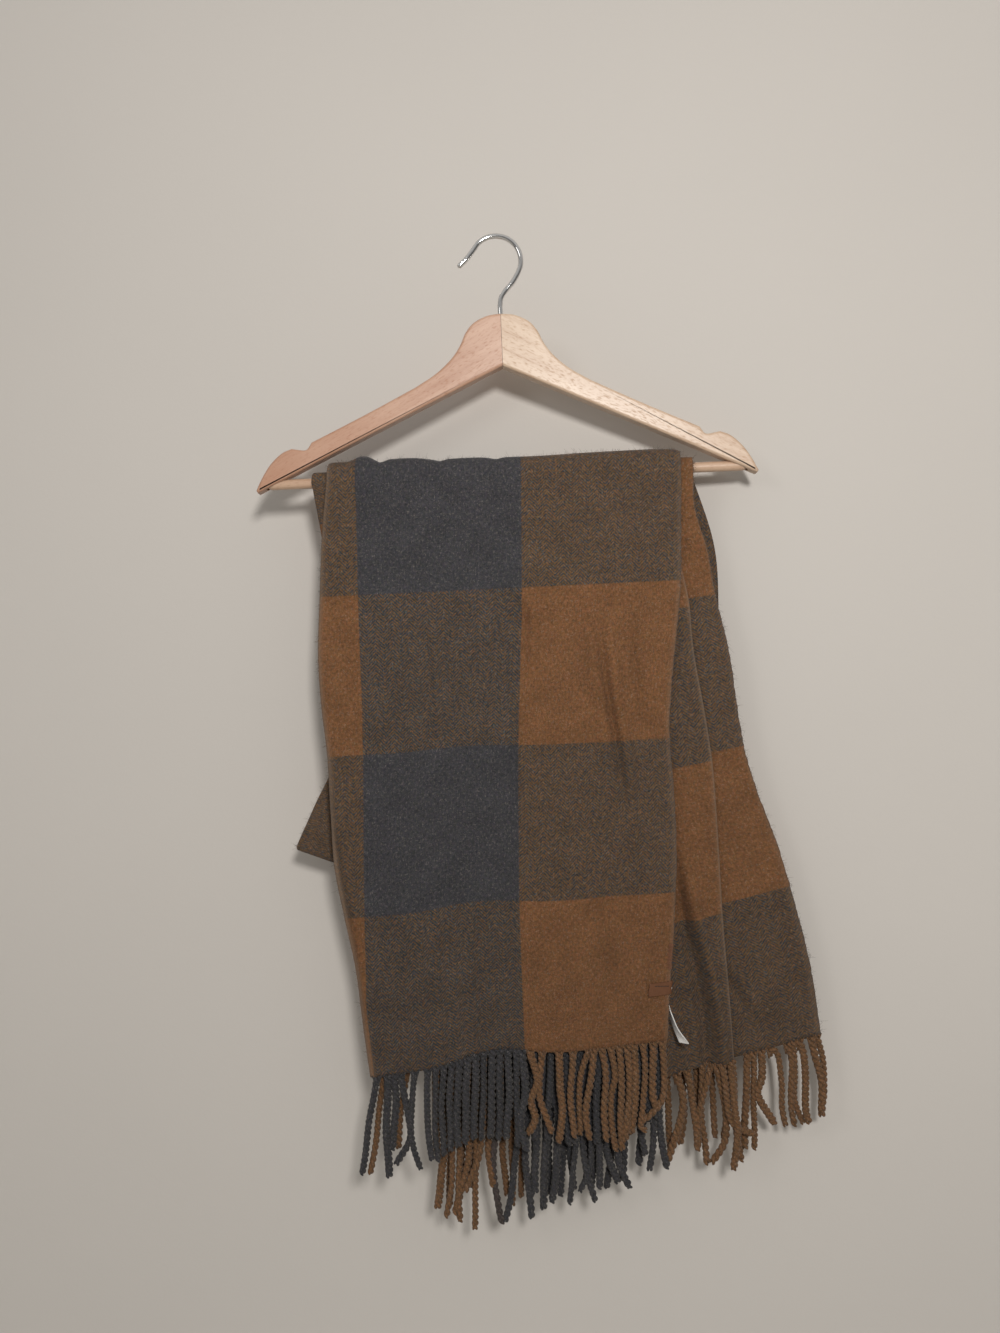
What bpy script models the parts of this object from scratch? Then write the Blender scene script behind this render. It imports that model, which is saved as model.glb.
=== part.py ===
"""Plaid wool scarf on a wooden hanger: folded lengthwise and widthwise, hung over the trouser bar.

Metres. X right, Y away from the viewer, Z up. The origin is the inner top of the hanger
hook's crook, where a rail or a wall hook carries it. The hanger hangs a little askew,
its left end lower, and the scarf hangs plumb from the bar.
"""

import math
from collections import namedtuple

import bmesh
import bpy
from mathutils import Vector

SEAM_GAP = 0.0003

# Hanger, measured in its own frame, before it swings to hang askew
HANGER_ROLL = math.radians(2.4)
HANGER_MIDLINE = 0.0025
WOOD_THICKNESS = 0.014
WOOD_ROUNDING = 0.0022
CROWN_TOP = 0.0683
UNDERSIDE_APEX = 0.1147
ARM_REACH = 0.2205
ARM_TIP_DROP = 0.2178

# The arm's outline, as (distance from the midline, height)
OutlinePoint = namedtuple("OutlinePoint", "reach height")

ARM_CROWN = (
    OutlinePoint(SEAM_GAP / 2, -CROWN_TOP),
    OutlinePoint(0.0122, -0.0698),
    OutlinePoint(0.0244, -0.0757),
    OutlinePoint(0.0318, -0.0842),
    OutlinePoint(0.0370, -0.0950),
    OutlinePoint(0.0451, -0.1063),
    OutlinePoint(0.0590, -0.1188),
    OutlinePoint(0.0778, -0.1303),
)

ARM_NOTCH = (
    OutlinePoint(0.1715, -0.1751),
    OutlinePoint(0.1768, -0.1815),
    OutlinePoint(0.1830, -0.1812),
)

ARM_END = (
    OutlinePoint(0.1893, -0.1799),
    OutlinePoint(0.1985, -0.1838),
    OutlinePoint(0.2085, -0.1930),
    OutlinePoint(0.2160, -0.2040),
    OutlinePoint(ARM_REACH + 0.0014, -ARM_TIP_DROP + 0.0022),
)

ARM_UNDERSIDE = (
    OutlinePoint(ARM_REACH, -ARM_TIP_DROP),
    OutlinePoint(SEAM_GAP / 2, -UNDERSIDE_APEX),
)

BAR_RADIUS = 0.0045
BAR_DROP = 0.2103
BAR_HALF_LENGTH = 0.2130

WIRE_RADIUS = 0.0023
CROOK_RADIUS = 0.0222
CROOK_CENTRE_X = 0.0003
CROOK_START = math.radians(152)
CROOK_END = math.radians(-22)
CROOK_STEPS = 8
SHANK_DEPTH_IN_WOOD = 0.018

# The wire's middle line on each side of the round crook, as (x, height)
WirePoint = namedtuple("WirePoint", "x height")

HOOK_FREE_END = (
    WirePoint(-0.0318, -0.0226),
    WirePoint(-0.0258, -0.0172),
)

HOOK_NECK = (
    WirePoint(0.0150, -0.0385),
    WirePoint(0.0085, -0.0458),
    WirePoint(0.0040, -0.0520),
    WirePoint(HANGER_MIDLINE, -0.0590),
    WirePoint(HANGER_MIDLINE, -CROWN_TOP),
    WirePoint(HANGER_MIDLINE, -CROWN_TOP - SHANK_DEPTH_IN_WOOD),
)

# Cloth: one woven rectangle, 0.71 m by 1.92 m without its fringe
CLOTH_THICKNESS = 0.0018
LAYER_PITCH = 0.0028
INNER_LEAF_RADIUS = BAR_RADIUS + SEAM_GAP + CLOTH_THICKNESS / 2
ENDS_PITCH = 0.0024
UNDER_LEAF_RADIUS = INNER_LEAF_RADIUS + LAYER_PITCH / 2
FRONT_LEAF_RADIUS = INNER_LEAF_RADIUS + LAYER_PITCH * 1.5 + ENDS_PITCH

HEM_LIFT = 0.0105
HEM_LIFT_AT = 0.42
HEM_LIFT_WIDTH = 0.15

# Fringe: the cloth's warp ends, twisted by hand into strands
STRAND_PITCH = 0.0095
STRAND_WIDTH = 0.0050
STRAND_DEPTH = 0.0042
STRAND_TIP = 0.8
STRAND_GATHER = 0.014
STRAND_SWAY = 0.0017
FRINGE_STRIP_HEIGHT = 0.005
FRONT_FRINGE_LENGTH = 0.090
UNDER_FRINGE_LENGTH = 0.083
FRINGE_LENGTH_VARIATION = 0.009

# Labels, both bare
LEATHER_LABEL = (0.020, 0.013, 0.0010)
LEATHER_BACK_FLAP = 0.010
LEATHER_LABEL_TOP = -0.650
CARE_LABEL_TOP = -0.668
CARE_LABEL_WIDTH = 0.0075
CARE_LABEL_LEAN = 0.0030
CARE_LABEL_THICKNESS = 0.0008

# The care label's curl, from where it is sewn in behind the selvedge
CurlStep = namedtuple("CurlStep", "right down")

CARE_LABEL_CURL = (
    CurlStep(0.0000, 0.0000),
    CurlStep(0.0024, 0.0130),
    CurlStep(0.0078, 0.0270),
    CurlStep(0.0170, 0.0410),
)

# A rung is a straight line across the folded cloth, from the lengthwise fold at the
# left to the selvedge at the right. depth is the Y of the leaf nearest the viewer,
# spread the distance back to the other leaf, inset how much shorter the other leaf is.
Rung = namedtuple("Rung", "left_x left_z right_x right_z depth spread inset")

FRONT_RUNGS = (
    Rung(-0.1502, -0.2693, 0.1626, -0.2545, -0.0146, 0.0030, 0.008),
    Rung(-0.1518, -0.3191, 0.1621, -0.3043, -0.0158, 0.0034, 0.008),
    Rung(-0.1531, -0.3696, 0.1580, -0.3539, -0.0170, 0.0038, 0.008),
    Rung(-0.1502, -0.4131, 0.1535, -0.3983, -0.0180, 0.0042, 0.008),
    Rung(-0.1448, -0.4582, 0.1519, -0.4417, -0.0190, 0.0046, 0.008),
    Rung(-0.1418, -0.5084, 0.1554, -0.4884, -0.0200, 0.0050, 0.008),
    Rung(-0.1385, -0.5542, 0.1572, -0.5316, -0.0210, 0.0054, 0.008),
    Rung(-0.1297, -0.5981, 0.1559, -0.5739, -0.0220, 0.0058, 0.008),
    Rung(-0.1200, -0.6420, 0.1540, -0.6160, -0.0229, 0.0061, 0.008),
    Rung(-0.1139, -0.6866, 0.1504, -0.6590, -0.0238, 0.0063, 0.008),
    Rung(-0.1068, -0.7346, 0.1493, -0.7018, -0.0245, 0.0065, 0.008),
)

UNDER_RUNGS = (
    Rung(-0.1515, -0.2641, 0.1758, -0.2395, -0.0089, 0.0060, 0.021),
    Rung(-0.1409, -0.3142, 0.1876, -0.2773, -0.0092, 0.0095, 0.021),
    Rung(-0.1304, -0.3669, 0.1946, -0.3159, -0.0095, 0.0110, 0.021),
    Rung(-0.1198, -0.4196, 0.2060, -0.3625, -0.0098, 0.0112, 0.021),
    Rung(-0.1093, -0.4705, 0.2130, -0.4090, -0.0101, 0.0114, 0.021),
    Rung(-0.0987, -0.5232, 0.2209, -0.4547, -0.0103, 0.0116, 0.021),
    Rung(-0.0882, -0.5741, 0.2341, -0.4968, -0.0106, 0.0117, 0.024),
    Rung(-0.0776, -0.6250, 0.2516, -0.5433, -0.0108, 0.0118, 0.026),
    Rung(-0.0662, -0.6785, 0.2648, -0.5899, -0.0110, 0.0119, 0.028),
    Rung(-0.0548, -0.7320, 0.2779, -0.6416, -0.0113, 0.0120, 0.028),
    Rung(-0.0425, -0.7899, 0.2875, -0.7039, -0.0115, 0.0121, 0.028),
)

# The pleat of the end that hangs behind, a row for each of its rungs: where its fold
# lies along the rung, how much cloth it laps over, and how far back the strip to its
# right lies. A negative lap is a ramp that isn't folded yet.
Pleat = namedtuple("Pleat", "at lap step")

UNDER_PLEATS = (
    Pleat(0.940, -0.012, 0.0010),
    Pleat(0.922, -0.006, 0.0040),
    Pleat(0.924, 0.010, 0.0056),
    Pleat(0.904, 0.020, 0.0056),
    Pleat(0.907, 0.025, 0.0056),
    Pleat(0.904, 0.025, 0.0056),
    Pleat(0.876, 0.025, 0.0056),
    Pleat(0.835, 0.025, 0.0056),
    Pleat(0.805, 0.025, 0.0056),
    Pleat(0.781, 0.025, 0.0056),
    Pleat(0.763, 0.025, 0.0056),
)

# The loop behind the bar, a row for each rung from the bar down to its bottom bend.
# Its two strands lie on each other. inset_out and inset_in are how much shorter the
# leaf on the outside of the loop and the leaf on its inside are.
LoopRung = namedtuple(
    "LoopRung", "left_x left_z right_x right_z inset_out inset_in middle gap spread"
)

LOOP_OUTER = (
    LoopRung(-0.1474, -0.2836, 0.1851, -0.2728, 0.010, 0.012, 0.0110, 0.0064, 0.0028),
    LoopRung(-0.1393, -0.3467, 0.1996, -0.3467, 0.020, 0.012, 0.0110, 0.0068, 0.0029),
    LoopRung(-0.1348, -0.4098, 0.2050, -0.4278, 0.025, 0.010, 0.0110, 0.0072, 0.0030),
    LoopRung(-0.1429, -0.4657, 0.2068, -0.5108, 0.034, 0.008, 0.0110, 0.0076, 0.0031),
    LoopRung(-0.1592, -0.5027, 0.2033, -0.5901, 0.048, 0.006, 0.0110, 0.0080, 0.0032),
    LoopRung(-0.1750, -0.5379, 0.1934, -0.6668, 0.066, 0.004, 0.0110, 0.0084, 0.0033),
)

LOOP_INNER = (
    LoopRung(-0.1508, -0.2843, 0.1928, -0.2736, 0.024, 0.0, 0.0110, 0.0064, 0.0028),
    LoopRung(-0.1400, -0.3470, 0.2008, -0.3470, 0.027, 0.0, 0.0110, 0.0068, 0.0029),
    LoopRung(-0.1348, -0.4096, 0.2050, -0.4276, 0.030, 0.0, 0.0110, 0.0072, 0.0030),
    LoopRung(-0.1429, -0.4655, 0.2068, -0.5105, 0.036, 0.001, 0.0110, 0.0076, 0.0031),
    LoopRung(-0.1592, -0.5025, 0.2033, -0.5899, 0.048, 0.002, 0.0110, 0.0080, 0.0032),
    LoopRung(-0.1750, -0.5379, 0.1934, -0.6668, 0.066, 0.004, 0.0110, 0.0084, 0.0033),
)

FRONT_AT_BAR = (-0.1460, 0.1628)
UNDER_AT_BAR = (-0.1603, 0.1745)
FRONT_INSET = 0.008
UNDER_INSET = 0.021

OUTER_LEAF_STEPS = 9
HIDDEN_LEAF_STEPS = 6
AT_SEAM = 1e-6
BAR_ANGLES = tuple(math.radians(angle) for angle in (30, 60, 90))
HALF_ROUND = tuple(math.radians(angle) for angle in (0, 45, 90, 135, 180))


def clear_scene():
    for item in list(bpy.data.objects):
        bpy.data.objects.remove(item, do_unlink=True)


def make_material(name, colour, roughness, metallic=0.0):
    material = bpy.data.materials.new(name)
    material.use_nodes = True
    shader = material.node_tree.nodes["Principled BSDF"]
    shader.inputs["Base Color"].default_value = (*colour, 1.0)
    shader.inputs["Roughness"].default_value = roughness
    shader.inputs["Metallic"].default_value = metallic
    return material


def add_object(name, mesh_or_curve, material):
    item = bpy.data.objects.new(name, mesh_or_curve)
    mesh_or_curve.materials.append(material)
    bpy.context.scene.collection.objects.link(item)
    return item


def mesh_from(name, shape):
    """A mesh of the bmesh, with its faces pointing out and its round parts smooth."""
    bmesh.ops.recalc_face_normals(shape, faces=shape.faces)
    mesh = bpy.data.meshes.new(name)
    shape.to_mesh(mesh)
    shape.free()
    mesh.shade_smooth()
    mesh.set_sharp_from_angle(angle=math.radians(40))
    return mesh


def smooth_curve(points, steps):
    """Points of a smooth curve through the given ones, with so many steps in each span."""
    ends = [points[0]] + list(points) + [points[-1]]
    curve = []
    for before, start, end, after in zip(ends, ends[1:], ends[2:], ends[3:]):
        for step in range(steps):
            t = step / steps
            curve.append(
                0.5
                * (
                    2 * start
                    + (end - before) * t
                    + (2 * before - 5 * start + 4 * end - after) * t**2
                    + (3 * start - before - 3 * end + after) * t**3
                )
            )
    curve.append(points[-1])
    return curve


# Hanger


def arm_outline():
    """The right arm's outline, from the crown round to the underside's apex."""
    crown = smooth_curve([Vector(point) for point in ARM_CROWN], 2)
    end = smooth_curve([Vector(point) for point in ARM_END], 2)
    return [*crown, *ARM_NOTCH, *end, *ARM_UNDERSIDE]


def make_arm(name, side, material):
    """One wooden arm, cut from board with its edges rounded. side is 1 for the right arm."""
    shape = bmesh.new()
    outline = [
        shape.verts.new((HANGER_MIDLINE + side * x, -WOOD_THICKNESS / 2, z))
        for x, z in arm_outline()
    ]
    front = shape.faces.new(outline)
    extruded = bmesh.ops.extrude_face_region(shape, geom=[front])["geom"]
    back_points = [item for item in extruded if isinstance(item, bmesh.types.BMVert)]
    bmesh.ops.translate(shape, verts=back_points, vec=(0, WOOD_THICKNESS, 0))
    rims = [
        edge
        for edge in shape.edges
        if abs(edge.verts[0].co.y - edge.verts[1].co.y) < WOOD_THICKNESS / 2
    ]
    bmesh.ops.bevel(
        shape, geom=rims, offset=WOOD_ROUNDING, segments=2, profile=0.5, affect="EDGES"
    )
    return add_object(name, mesh_from(name, shape), material)


def make_cylinder(name, radius, length, sides, material):
    """A round rod along its own Z, centred on its origin."""
    shape = bmesh.new()
    bmesh.ops.create_cone(
        shape,
        cap_ends=True,
        segments=sides,
        radius1=radius,
        radius2=radius,
        depth=length,
    )
    return add_object(name, mesh_from(name, shape), material)


def cut(item, cutter):
    cutter.hide_render = True
    cutter.display_type = "WIRE"
    modifier = item.modifiers.new("cut_" + cutter.name, "BOOLEAN")
    modifier.operation = "DIFFERENCE"
    modifier.object = cutter


def hook_route():
    """The wire's middle line: free end, crook, neck, and the shank down into the wood."""
    centre = Vector((CROOK_CENTRE_X, WIRE_RADIUS - CROOK_RADIUS))
    crook = []
    for step in range(CROOK_STEPS + 1):
        angle = CROOK_START + (CROOK_END - CROOK_START) * step / CROOK_STEPS
        crook.append(centre + CROOK_RADIUS * Vector((math.cos(angle), math.sin(angle))))
    free_end = [Vector(point) for point in HOOK_FREE_END]
    neck = [Vector(point) for point in HOOK_NECK]
    return smooth_curve(free_end + crook + neck, 2)


def make_hook(name, material):
    wire = bpy.data.curves.new(name, "CURVE")
    wire.dimensions = "3D"
    wire.bevel_depth = WIRE_RADIUS
    wire.bevel_resolution = 2
    wire.use_fill_caps = True
    route = hook_route()
    spline = wire.splines.new("POLY")
    spline.points.add(len(route) - 1)
    for point, (x, z) in zip(spline.points, route):
        point.co = (x, 0, z, 1)
    return add_object(name, wire, material)


def make_hanger():
    pale_wood = make_material("pale_wood", (0.72, 0.50, 0.34), 0.5)
    pink_wood = make_material("pink_wood", (0.60, 0.34, 0.22), 0.5)
    chrome = make_material("chrome", (0.62, 0.62, 0.64), 0.12, 1.0)

    swing = bpy.data.objects.new("hanger_swing", None)
    bpy.context.scene.collection.objects.link(swing)
    swing.rotation_euler = (0, -HANGER_ROLL, 0)

    arms = (
        make_arm("hanger_arm_left", -1, pink_wood),
        make_arm("hanger_arm_right", 1, pale_wood),
    )
    bar = make_cylinder("trouser_bar", BAR_RADIUS, 2 * BAR_HALF_LENGTH, 16, pale_wood)
    socket_radius = (BAR_RADIUS + SEAM_GAP) / math.cos(math.pi / 16)
    sockets = make_cylinder(
        "bar_sockets", socket_radius, 2 * (BAR_HALF_LENGTH + SEAM_GAP), 16, pale_wood
    )
    for rod in (bar, sockets):
        rod.location = (HANGER_MIDLINE, 0, -BAR_DROP)
        rod.rotation_euler = (0, math.pi / 2, 0)

    shank_hole_depth = SHANK_DEPTH_IN_WOOD + SEAM_GAP
    shank_hole = make_cylinder(
        "shank_hole", WIRE_RADIUS + 2 * SEAM_GAP, 2 * shank_hole_depth, 16, chrome
    )
    shank_hole.location = (HANGER_MIDLINE, 0, -CROWN_TOP)
    hook = make_hook("hanger_hook", chrome)
    for arm in arms:
        cut(arm, sockets)
        cut(arm, shank_hole)
    for item in (*arms, bar, sockets, shank_hole, hook):
        item.parent = swing


def bar_height(x):
    """Height of the bar's middle line at x, in the world, with the hanger askew."""
    middle_x = HANGER_MIDLINE * math.cos(HANGER_ROLL) + BAR_DROP * math.sin(HANGER_ROLL)
    middle_z = HANGER_MIDLINE * math.sin(HANGER_ROLL) - BAR_DROP * math.cos(HANGER_ROLL)
    return middle_z + (x - middle_x) * math.tan(HANGER_ROLL)


# Cloth


def steps_between(start, end, count):
    return [start + (end - start) * step / count for step in range(count + 1)]


def pleat_line(pleat, width):
    """The near leaf's fold line: its points as (along the rung, back from the near leaf)."""
    fold = pleat.at * width
    radius = pleat.step / 4
    count = 2 * len(HALF_ROUND) - 1
    if pleat.lap <= 0:
        return [
            (fold - pleat.lap * (step / count - 0.5), pleat.step * step / count)
            for step in range(count + 1)
        ]
    first = [
        (fold - radius + radius * math.sin(turn), radius - radius * math.cos(turn))
        for turn in HALF_ROUND
    ]
    second = [
        (
            fold - pleat.lap + radius - radius * math.sin(turn),
            3 * radius - radius * math.cos(turn),
        )
        for turn in HALF_ROUND
    ]
    return first + second


def folded_section(near_width, far_width, spread, near_steps, far_steps, pleat=None):
    """The folded cloth's middle line across one rung, from the near leaf's selvedge round
    the lengthwise fold to the far leaf's. Points are (along the rung, back from the near leaf)."""
    radius = spread / 2
    if pleat:
        folds = pleat_line(pleat, near_width)
        strip_steps, body_steps = near_steps
        strip = [
            (along, pleat.step)
            for along in steps_between(near_width, folds[-1][0], strip_steps)[:-1]
        ]
        body = [(along, 0.0) for along in steps_between(folds[0][0], radius, body_steps)[1:-1]]
        near = strip + folds[::-1] + body
    else:
        near = [(along, 0.0) for along in steps_between(near_width, radius, near_steps)[:-1]]
    turn_points = [
        (radius - radius * math.sin(turn), radius - radius * math.cos(turn)) for turn in HALF_ROUND
    ]
    far = [(along, spread) for along in steps_between(radius, far_width, far_steps)[1:]]
    return near + turn_points + far


def on_rung(rung, along, depth):
    """The point so far along the rung from its left end, at the given Y."""
    left = Vector((rung.left_x, 0, rung.left_z))
    across = (Vector((rung.right_x, 0, rung.right_z)) - left).normalized()
    return left + across * along + Vector((0, depth, 0))


def rung_width(rung):
    return math.hypot(rung.right_x - rung.left_x, rung.right_z - rung.left_z)


def over_bar(along, radius, angle, edges):
    """A point on the bend over the bar, so far along from the left edge. The angle is
    0 on top of the bar, positive towards the viewer."""
    slope = Vector((math.cos(HANGER_ROLL), 0, math.sin(HANGER_ROLL)))
    x = edges[0] + along * slope.x
    seam = math.copysign(SEAM_GAP / 2, angle)
    towards_viewer = max(abs(radius * math.sin(angle)), abs(seam))
    return Vector((x, -math.copysign(towards_viewer, angle), bar_height(x) + radius * math.cos(angle)))


def hem_lift(share, nearness):
    """How far the front hem rises at a share of its width, fading out above the hem."""
    return HEM_LIFT * nearness * math.exp(-(((share - HEM_LIFT_AT) / HEM_LIFT_WIDTH) ** 2))


def front_point(rung, along, back, nearness):
    share = min(max(along / rung_width(rung), 0), 1)
    lift = Vector((0, 0, hem_lift(share, nearness)))
    return on_rung(rung, along, rung.depth + back) + lift


def front_stations():
    """The front end's middle surface: a list of points for each station, bar to hem."""
    width = (FRONT_AT_BAR[1] - FRONT_AT_BAR[0]) / math.cos(HANGER_ROLL)
    section = folded_section(
        width, width - FRONT_INSET, LAYER_PITCH, OUTER_LEAF_STEPS, HIDDEN_LEAF_STEPS
    )
    outer = FRONT_LEAF_RADIUS + LAYER_PITCH / 2
    stations = [
        [over_bar(along, outer - back, angle, FRONT_AT_BAR) for along, back in section]
        for angle in (AT_SEAM, *BAR_ANGLES)
    ]
    last = len(FRONT_RUNGS) - 1
    for number, rung in enumerate(FRONT_RUNGS):
        width = rung_width(rung)
        section = folded_section(
            width, width - rung.inset, rung.spread, OUTER_LEAF_STEPS, HIDDEN_LEAF_STEPS
        )
        nearness = max(0, 1 - (last - number) / 2)
        stations.append([front_point(rung, along, back, nearness) for along, back in section])
    return stations


def under_stations():
    """The under end's middle surface, bar to hem, with its pleat."""
    width = (UNDER_AT_BAR[1] - UNDER_AT_BAR[0]) / math.cos(HANGER_ROLL)
    flat = Pleat(UNDER_PLEATS[0].at, -0.015, 0.0)
    steps = (2, OUTER_LEAF_STEPS)
    section = folded_section(width, width - UNDER_INSET, LAYER_PITCH, steps, HIDDEN_LEAF_STEPS, flat)
    outer = UNDER_LEAF_RADIUS + LAYER_PITCH / 2
    stations = [
        [over_bar(along, outer - back, angle, UNDER_AT_BAR) for along, back in section]
        for angle in (AT_SEAM, *BAR_ANGLES)
    ]
    for rung, pleat in zip(UNDER_RUNGS, UNDER_PLEATS):
        width = rung_width(rung)
        section = folded_section(
            width, width - rung.inset, rung.spread, steps, HIDDEN_LEAF_STEPS, pleat
        )
        stations.append([on_rung(rung, along, rung.depth + back) for along, back in section])
    return stations


def loop_section(width, inset_out, inset_in, spread):
    """The loop's middle line across one rung, the outer leaf first."""
    return folded_section(
        width - inset_out, width - inset_in, spread, OUTER_LEAF_STEPS, HIDDEN_LEAF_STEPS
    )


def loop_stations():
    """The loop behind the bar: down its outer strand, round its bottom, up its inner one."""
    width = (FRONT_AT_BAR[1] - FRONT_AT_BAR[0]) / math.cos(HANGER_ROLL)
    section = loop_section(width, 0, FRONT_INSET, LAYER_PITCH)
    outer = FRONT_LEAF_RADIUS + LAYER_PITCH / 2
    stations = [
        [over_bar(along, outer - back, -angle, FRONT_AT_BAR) for along, back in section]
        for angle in (AT_SEAM, *BAR_ANGLES)
    ]
    for rung in LOOP_OUTER:
        depth = rung.middle + (rung.gap + rung.spread) / 2
        section = loop_section(rung_width(rung), rung.inset_out, rung.inset_in, rung.spread)
        stations.append([on_rung(rung, along, depth - back) for along, back in section])

    bottom = LOOP_OUTER[-1]
    across = Vector((bottom.right_x - bottom.left_x, 0, bottom.right_z - bottom.left_z)).normalized()
    down = Vector((across.z, 0, -across.x))
    section = loop_section(rung_width(bottom), bottom.inset_out, bottom.inset_in, bottom.spread)
    for angle in HALF_ROUND[1:-1]:
        station = []
        for along, back in section:
            radius = (bottom.gap + bottom.spread) / 2 - back
            middle = on_rung(bottom, along, bottom.middle + radius * math.cos(angle))
            station.append(middle + down * radius * math.sin(angle))
        stations.append(station)

    for rung in LOOP_INNER[::-1]:
        depth = rung.middle - (rung.gap + rung.spread) / 2
        section = loop_section(rung_width(rung), rung.inset_out, rung.inset_in, rung.spread)
        stations.append([on_rung(rung, along, depth + back) for along, back in section])

    width = (UNDER_AT_BAR[1] - UNDER_AT_BAR[0]) / math.cos(HANGER_ROLL)
    section = loop_section(width, UNDER_INSET, 0, LAYER_PITCH)
    inner = UNDER_LEAF_RADIUS - LAYER_PITCH / 2
    for angle in (*BAR_ANGLES[::-1], AT_SEAM):
        stations.append([over_bar(along, inner + back, -angle, UNDER_AT_BAR) for along, back in section])
    return stations


def surface_normals(stations, seams):
    """The middle surface's normal at each point, from its neighbours on all sides. On the
    rows in seams, where two stretches meet on top of the bar, it has no part along Y."""
    rows = len(stations)
    columns = len(stations[0])
    normals = []
    for row in range(rows):
        line = []
        for column in range(columns):
            down = stations[min(row + 1, rows - 1)][column] - stations[max(row - 1, 0)][column]
            before = stations[row][max(column - 1, 0)]
            after = stations[row][min(column + 1, columns - 1)]
            normal = (after - before).cross(down)
            if row in seams:
                normal.y = 0
            line.append(normal.normalized())
        normals.append(line)
    return normals


def wall_shape(stations, thickness, seams=()):
    """A closed wall on the middle surface, half the thickness to each side."""
    normals = surface_normals(stations, seams)
    rows = len(stations)
    columns = len(stations[0])
    shape = bmesh.new()
    sides = []
    for side in (0.5, -0.5):
        sides.append(
            [
                [shape.verts.new(point + normal * thickness * side) for point, normal in zip(*pair)]
                for pair in zip(stations, normals)
            ]
        )
    for grid in sides:
        for row in range(rows - 1):
            for column in range(columns - 1):
                shape.faces.new(
                    (
                        grid[row][column],
                        grid[row + 1][column],
                        grid[row + 1][column + 1],
                        grid[row][column + 1],
                    )
                )
    near, far = sides
    rim = [(0, column) for column in range(columns)]
    rim += [(row, columns - 1) for row in range(1, rows)]
    rim += [(rows - 1, column) for column in range(columns - 2, -1, -1)]
    rim += [(row, 0) for row in range(rows - 2, 0, -1)]
    for (row, column), (next_row, next_column) in zip(rim, rim[1:] + rim[:1]):
        shape.faces.new(
            (
                near[row][column],
                near[next_row][next_column],
                far[next_row][next_column],
                far[row][column],
            )
        )
    return shape


def make_wall(name, stations, seams, material):
    shape = wall_shape(stations, CLOTH_THICKNESS, seams)
    return add_object(name, mesh_from(name, shape), material)


# Fringe


def strand_length(base, number):
    return base + FRINGE_LENGTH_VARIATION * math.sin(2.4 * number) * math.cos(0.9 * number)


def make_fringe(name, hem, length, skipped, material):
    """A narrow strip below the hem, with a twisted strand out of each of its wide cells.
    hem is the middle line's points; a cell narrower than half a strand's pitch is a fold."""
    shape = bmesh.new()
    drop = Vector((0, 0, -1))
    corners = []
    for number, point in enumerate(hem):
        before = hem[max(number - 1, 0)]
        after = hem[min(number + 1, len(hem) - 1)]
        outward = (after - before).cross(drop).normalized() * CLOTH_THICKNESS / 2
        top = point + drop * SEAM_GAP
        bottom = top + drop * FRINGE_STRIP_HEIGHT
        places = (top + outward, top - outward, bottom + outward, bottom - outward)
        corners.append([shape.verts.new(place) for place in places])
    for first, second in zip(corners, corners[1:]):
        shape.faces.new((first[0], second[0], second[1], first[1]))
        shape.faces.new((first[0], first[2], second[2], second[0]))
        shape.faces.new((first[1], second[1], second[3], first[3]))
    for end in (corners[0], corners[-1]):
        shape.faces.new((end[0], end[1], end[3], end[2]))

    strands = 0
    for number, (first, second) in enumerate(zip(corners, corners[1:])):
        root = [first[2], second[2], second[3], first[3]]
        wide = (second[2].co - first[2].co).length > STRAND_PITCH / 2
        if not wide or number in skipped:
            shape.faces.new(root)
            continue
        strands += 1
        across = second[2].co - first[2].co
        across.z = 0
        across.normalize()
        back = Vector((-across.y, across.x, 0))
        if back.dot(first[3].co - first[2].co) < 0:
            back = -back
        middle = sum((corner.co for corner in root), Vector()) / 4
        whole = strand_length(length, number)
        sway = STRAND_SWAY * math.sin(1.7 * number)
        ring = root
        for share, size in ((STRAND_GATHER / whole, 1.0), (0.55, 0.95), (1.0, STRAND_TIP)):
            centre = middle + drop * whole * share + across * sway * share
            half_width = across * STRAND_WIDTH / 2 * size
            half_depth = back * STRAND_DEPTH / 2 * size
            places = (
                centre - half_width - half_depth,
                centre + half_width - half_depth,
                centre + half_width + half_depth,
                centre - half_width + half_depth,
            )
            below = [shape.verts.new(place) for place in places]
            for side in range(4):
                following = (side + 1) % 4
                shape.faces.new((ring[side], ring[following], below[following], below[side]))
            ring = below
        shape.faces.new(ring)
    return add_object(name, mesh_from(name, shape), material)


def strand_cells(hem):
    """The wall's own hem line, with a point for each strand along its straight stretches."""
    line = []
    for start, end in zip(hem, hem[1:]):
        cells = max(1, round((end - start).length / STRAND_PITCH))
        line += [start.lerp(end, cell / cells) for cell in range(cells)]
    return line + [hem[-1]]


# Labels


def front_rung_at(height):
    """The front end's rung whose right end is at the given height."""
    for upper, lower in zip(FRONT_RUNGS, FRONT_RUNGS[1:]):
        if lower.right_z <= height <= upper.right_z:
            share = (upper.right_z - height) / (upper.right_z - lower.right_z)
            return Rung(*(a + (b - a) * share for a, b in zip(upper, lower)))
    raise ValueError(f"no rung of the front end reaches {height}")


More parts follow.
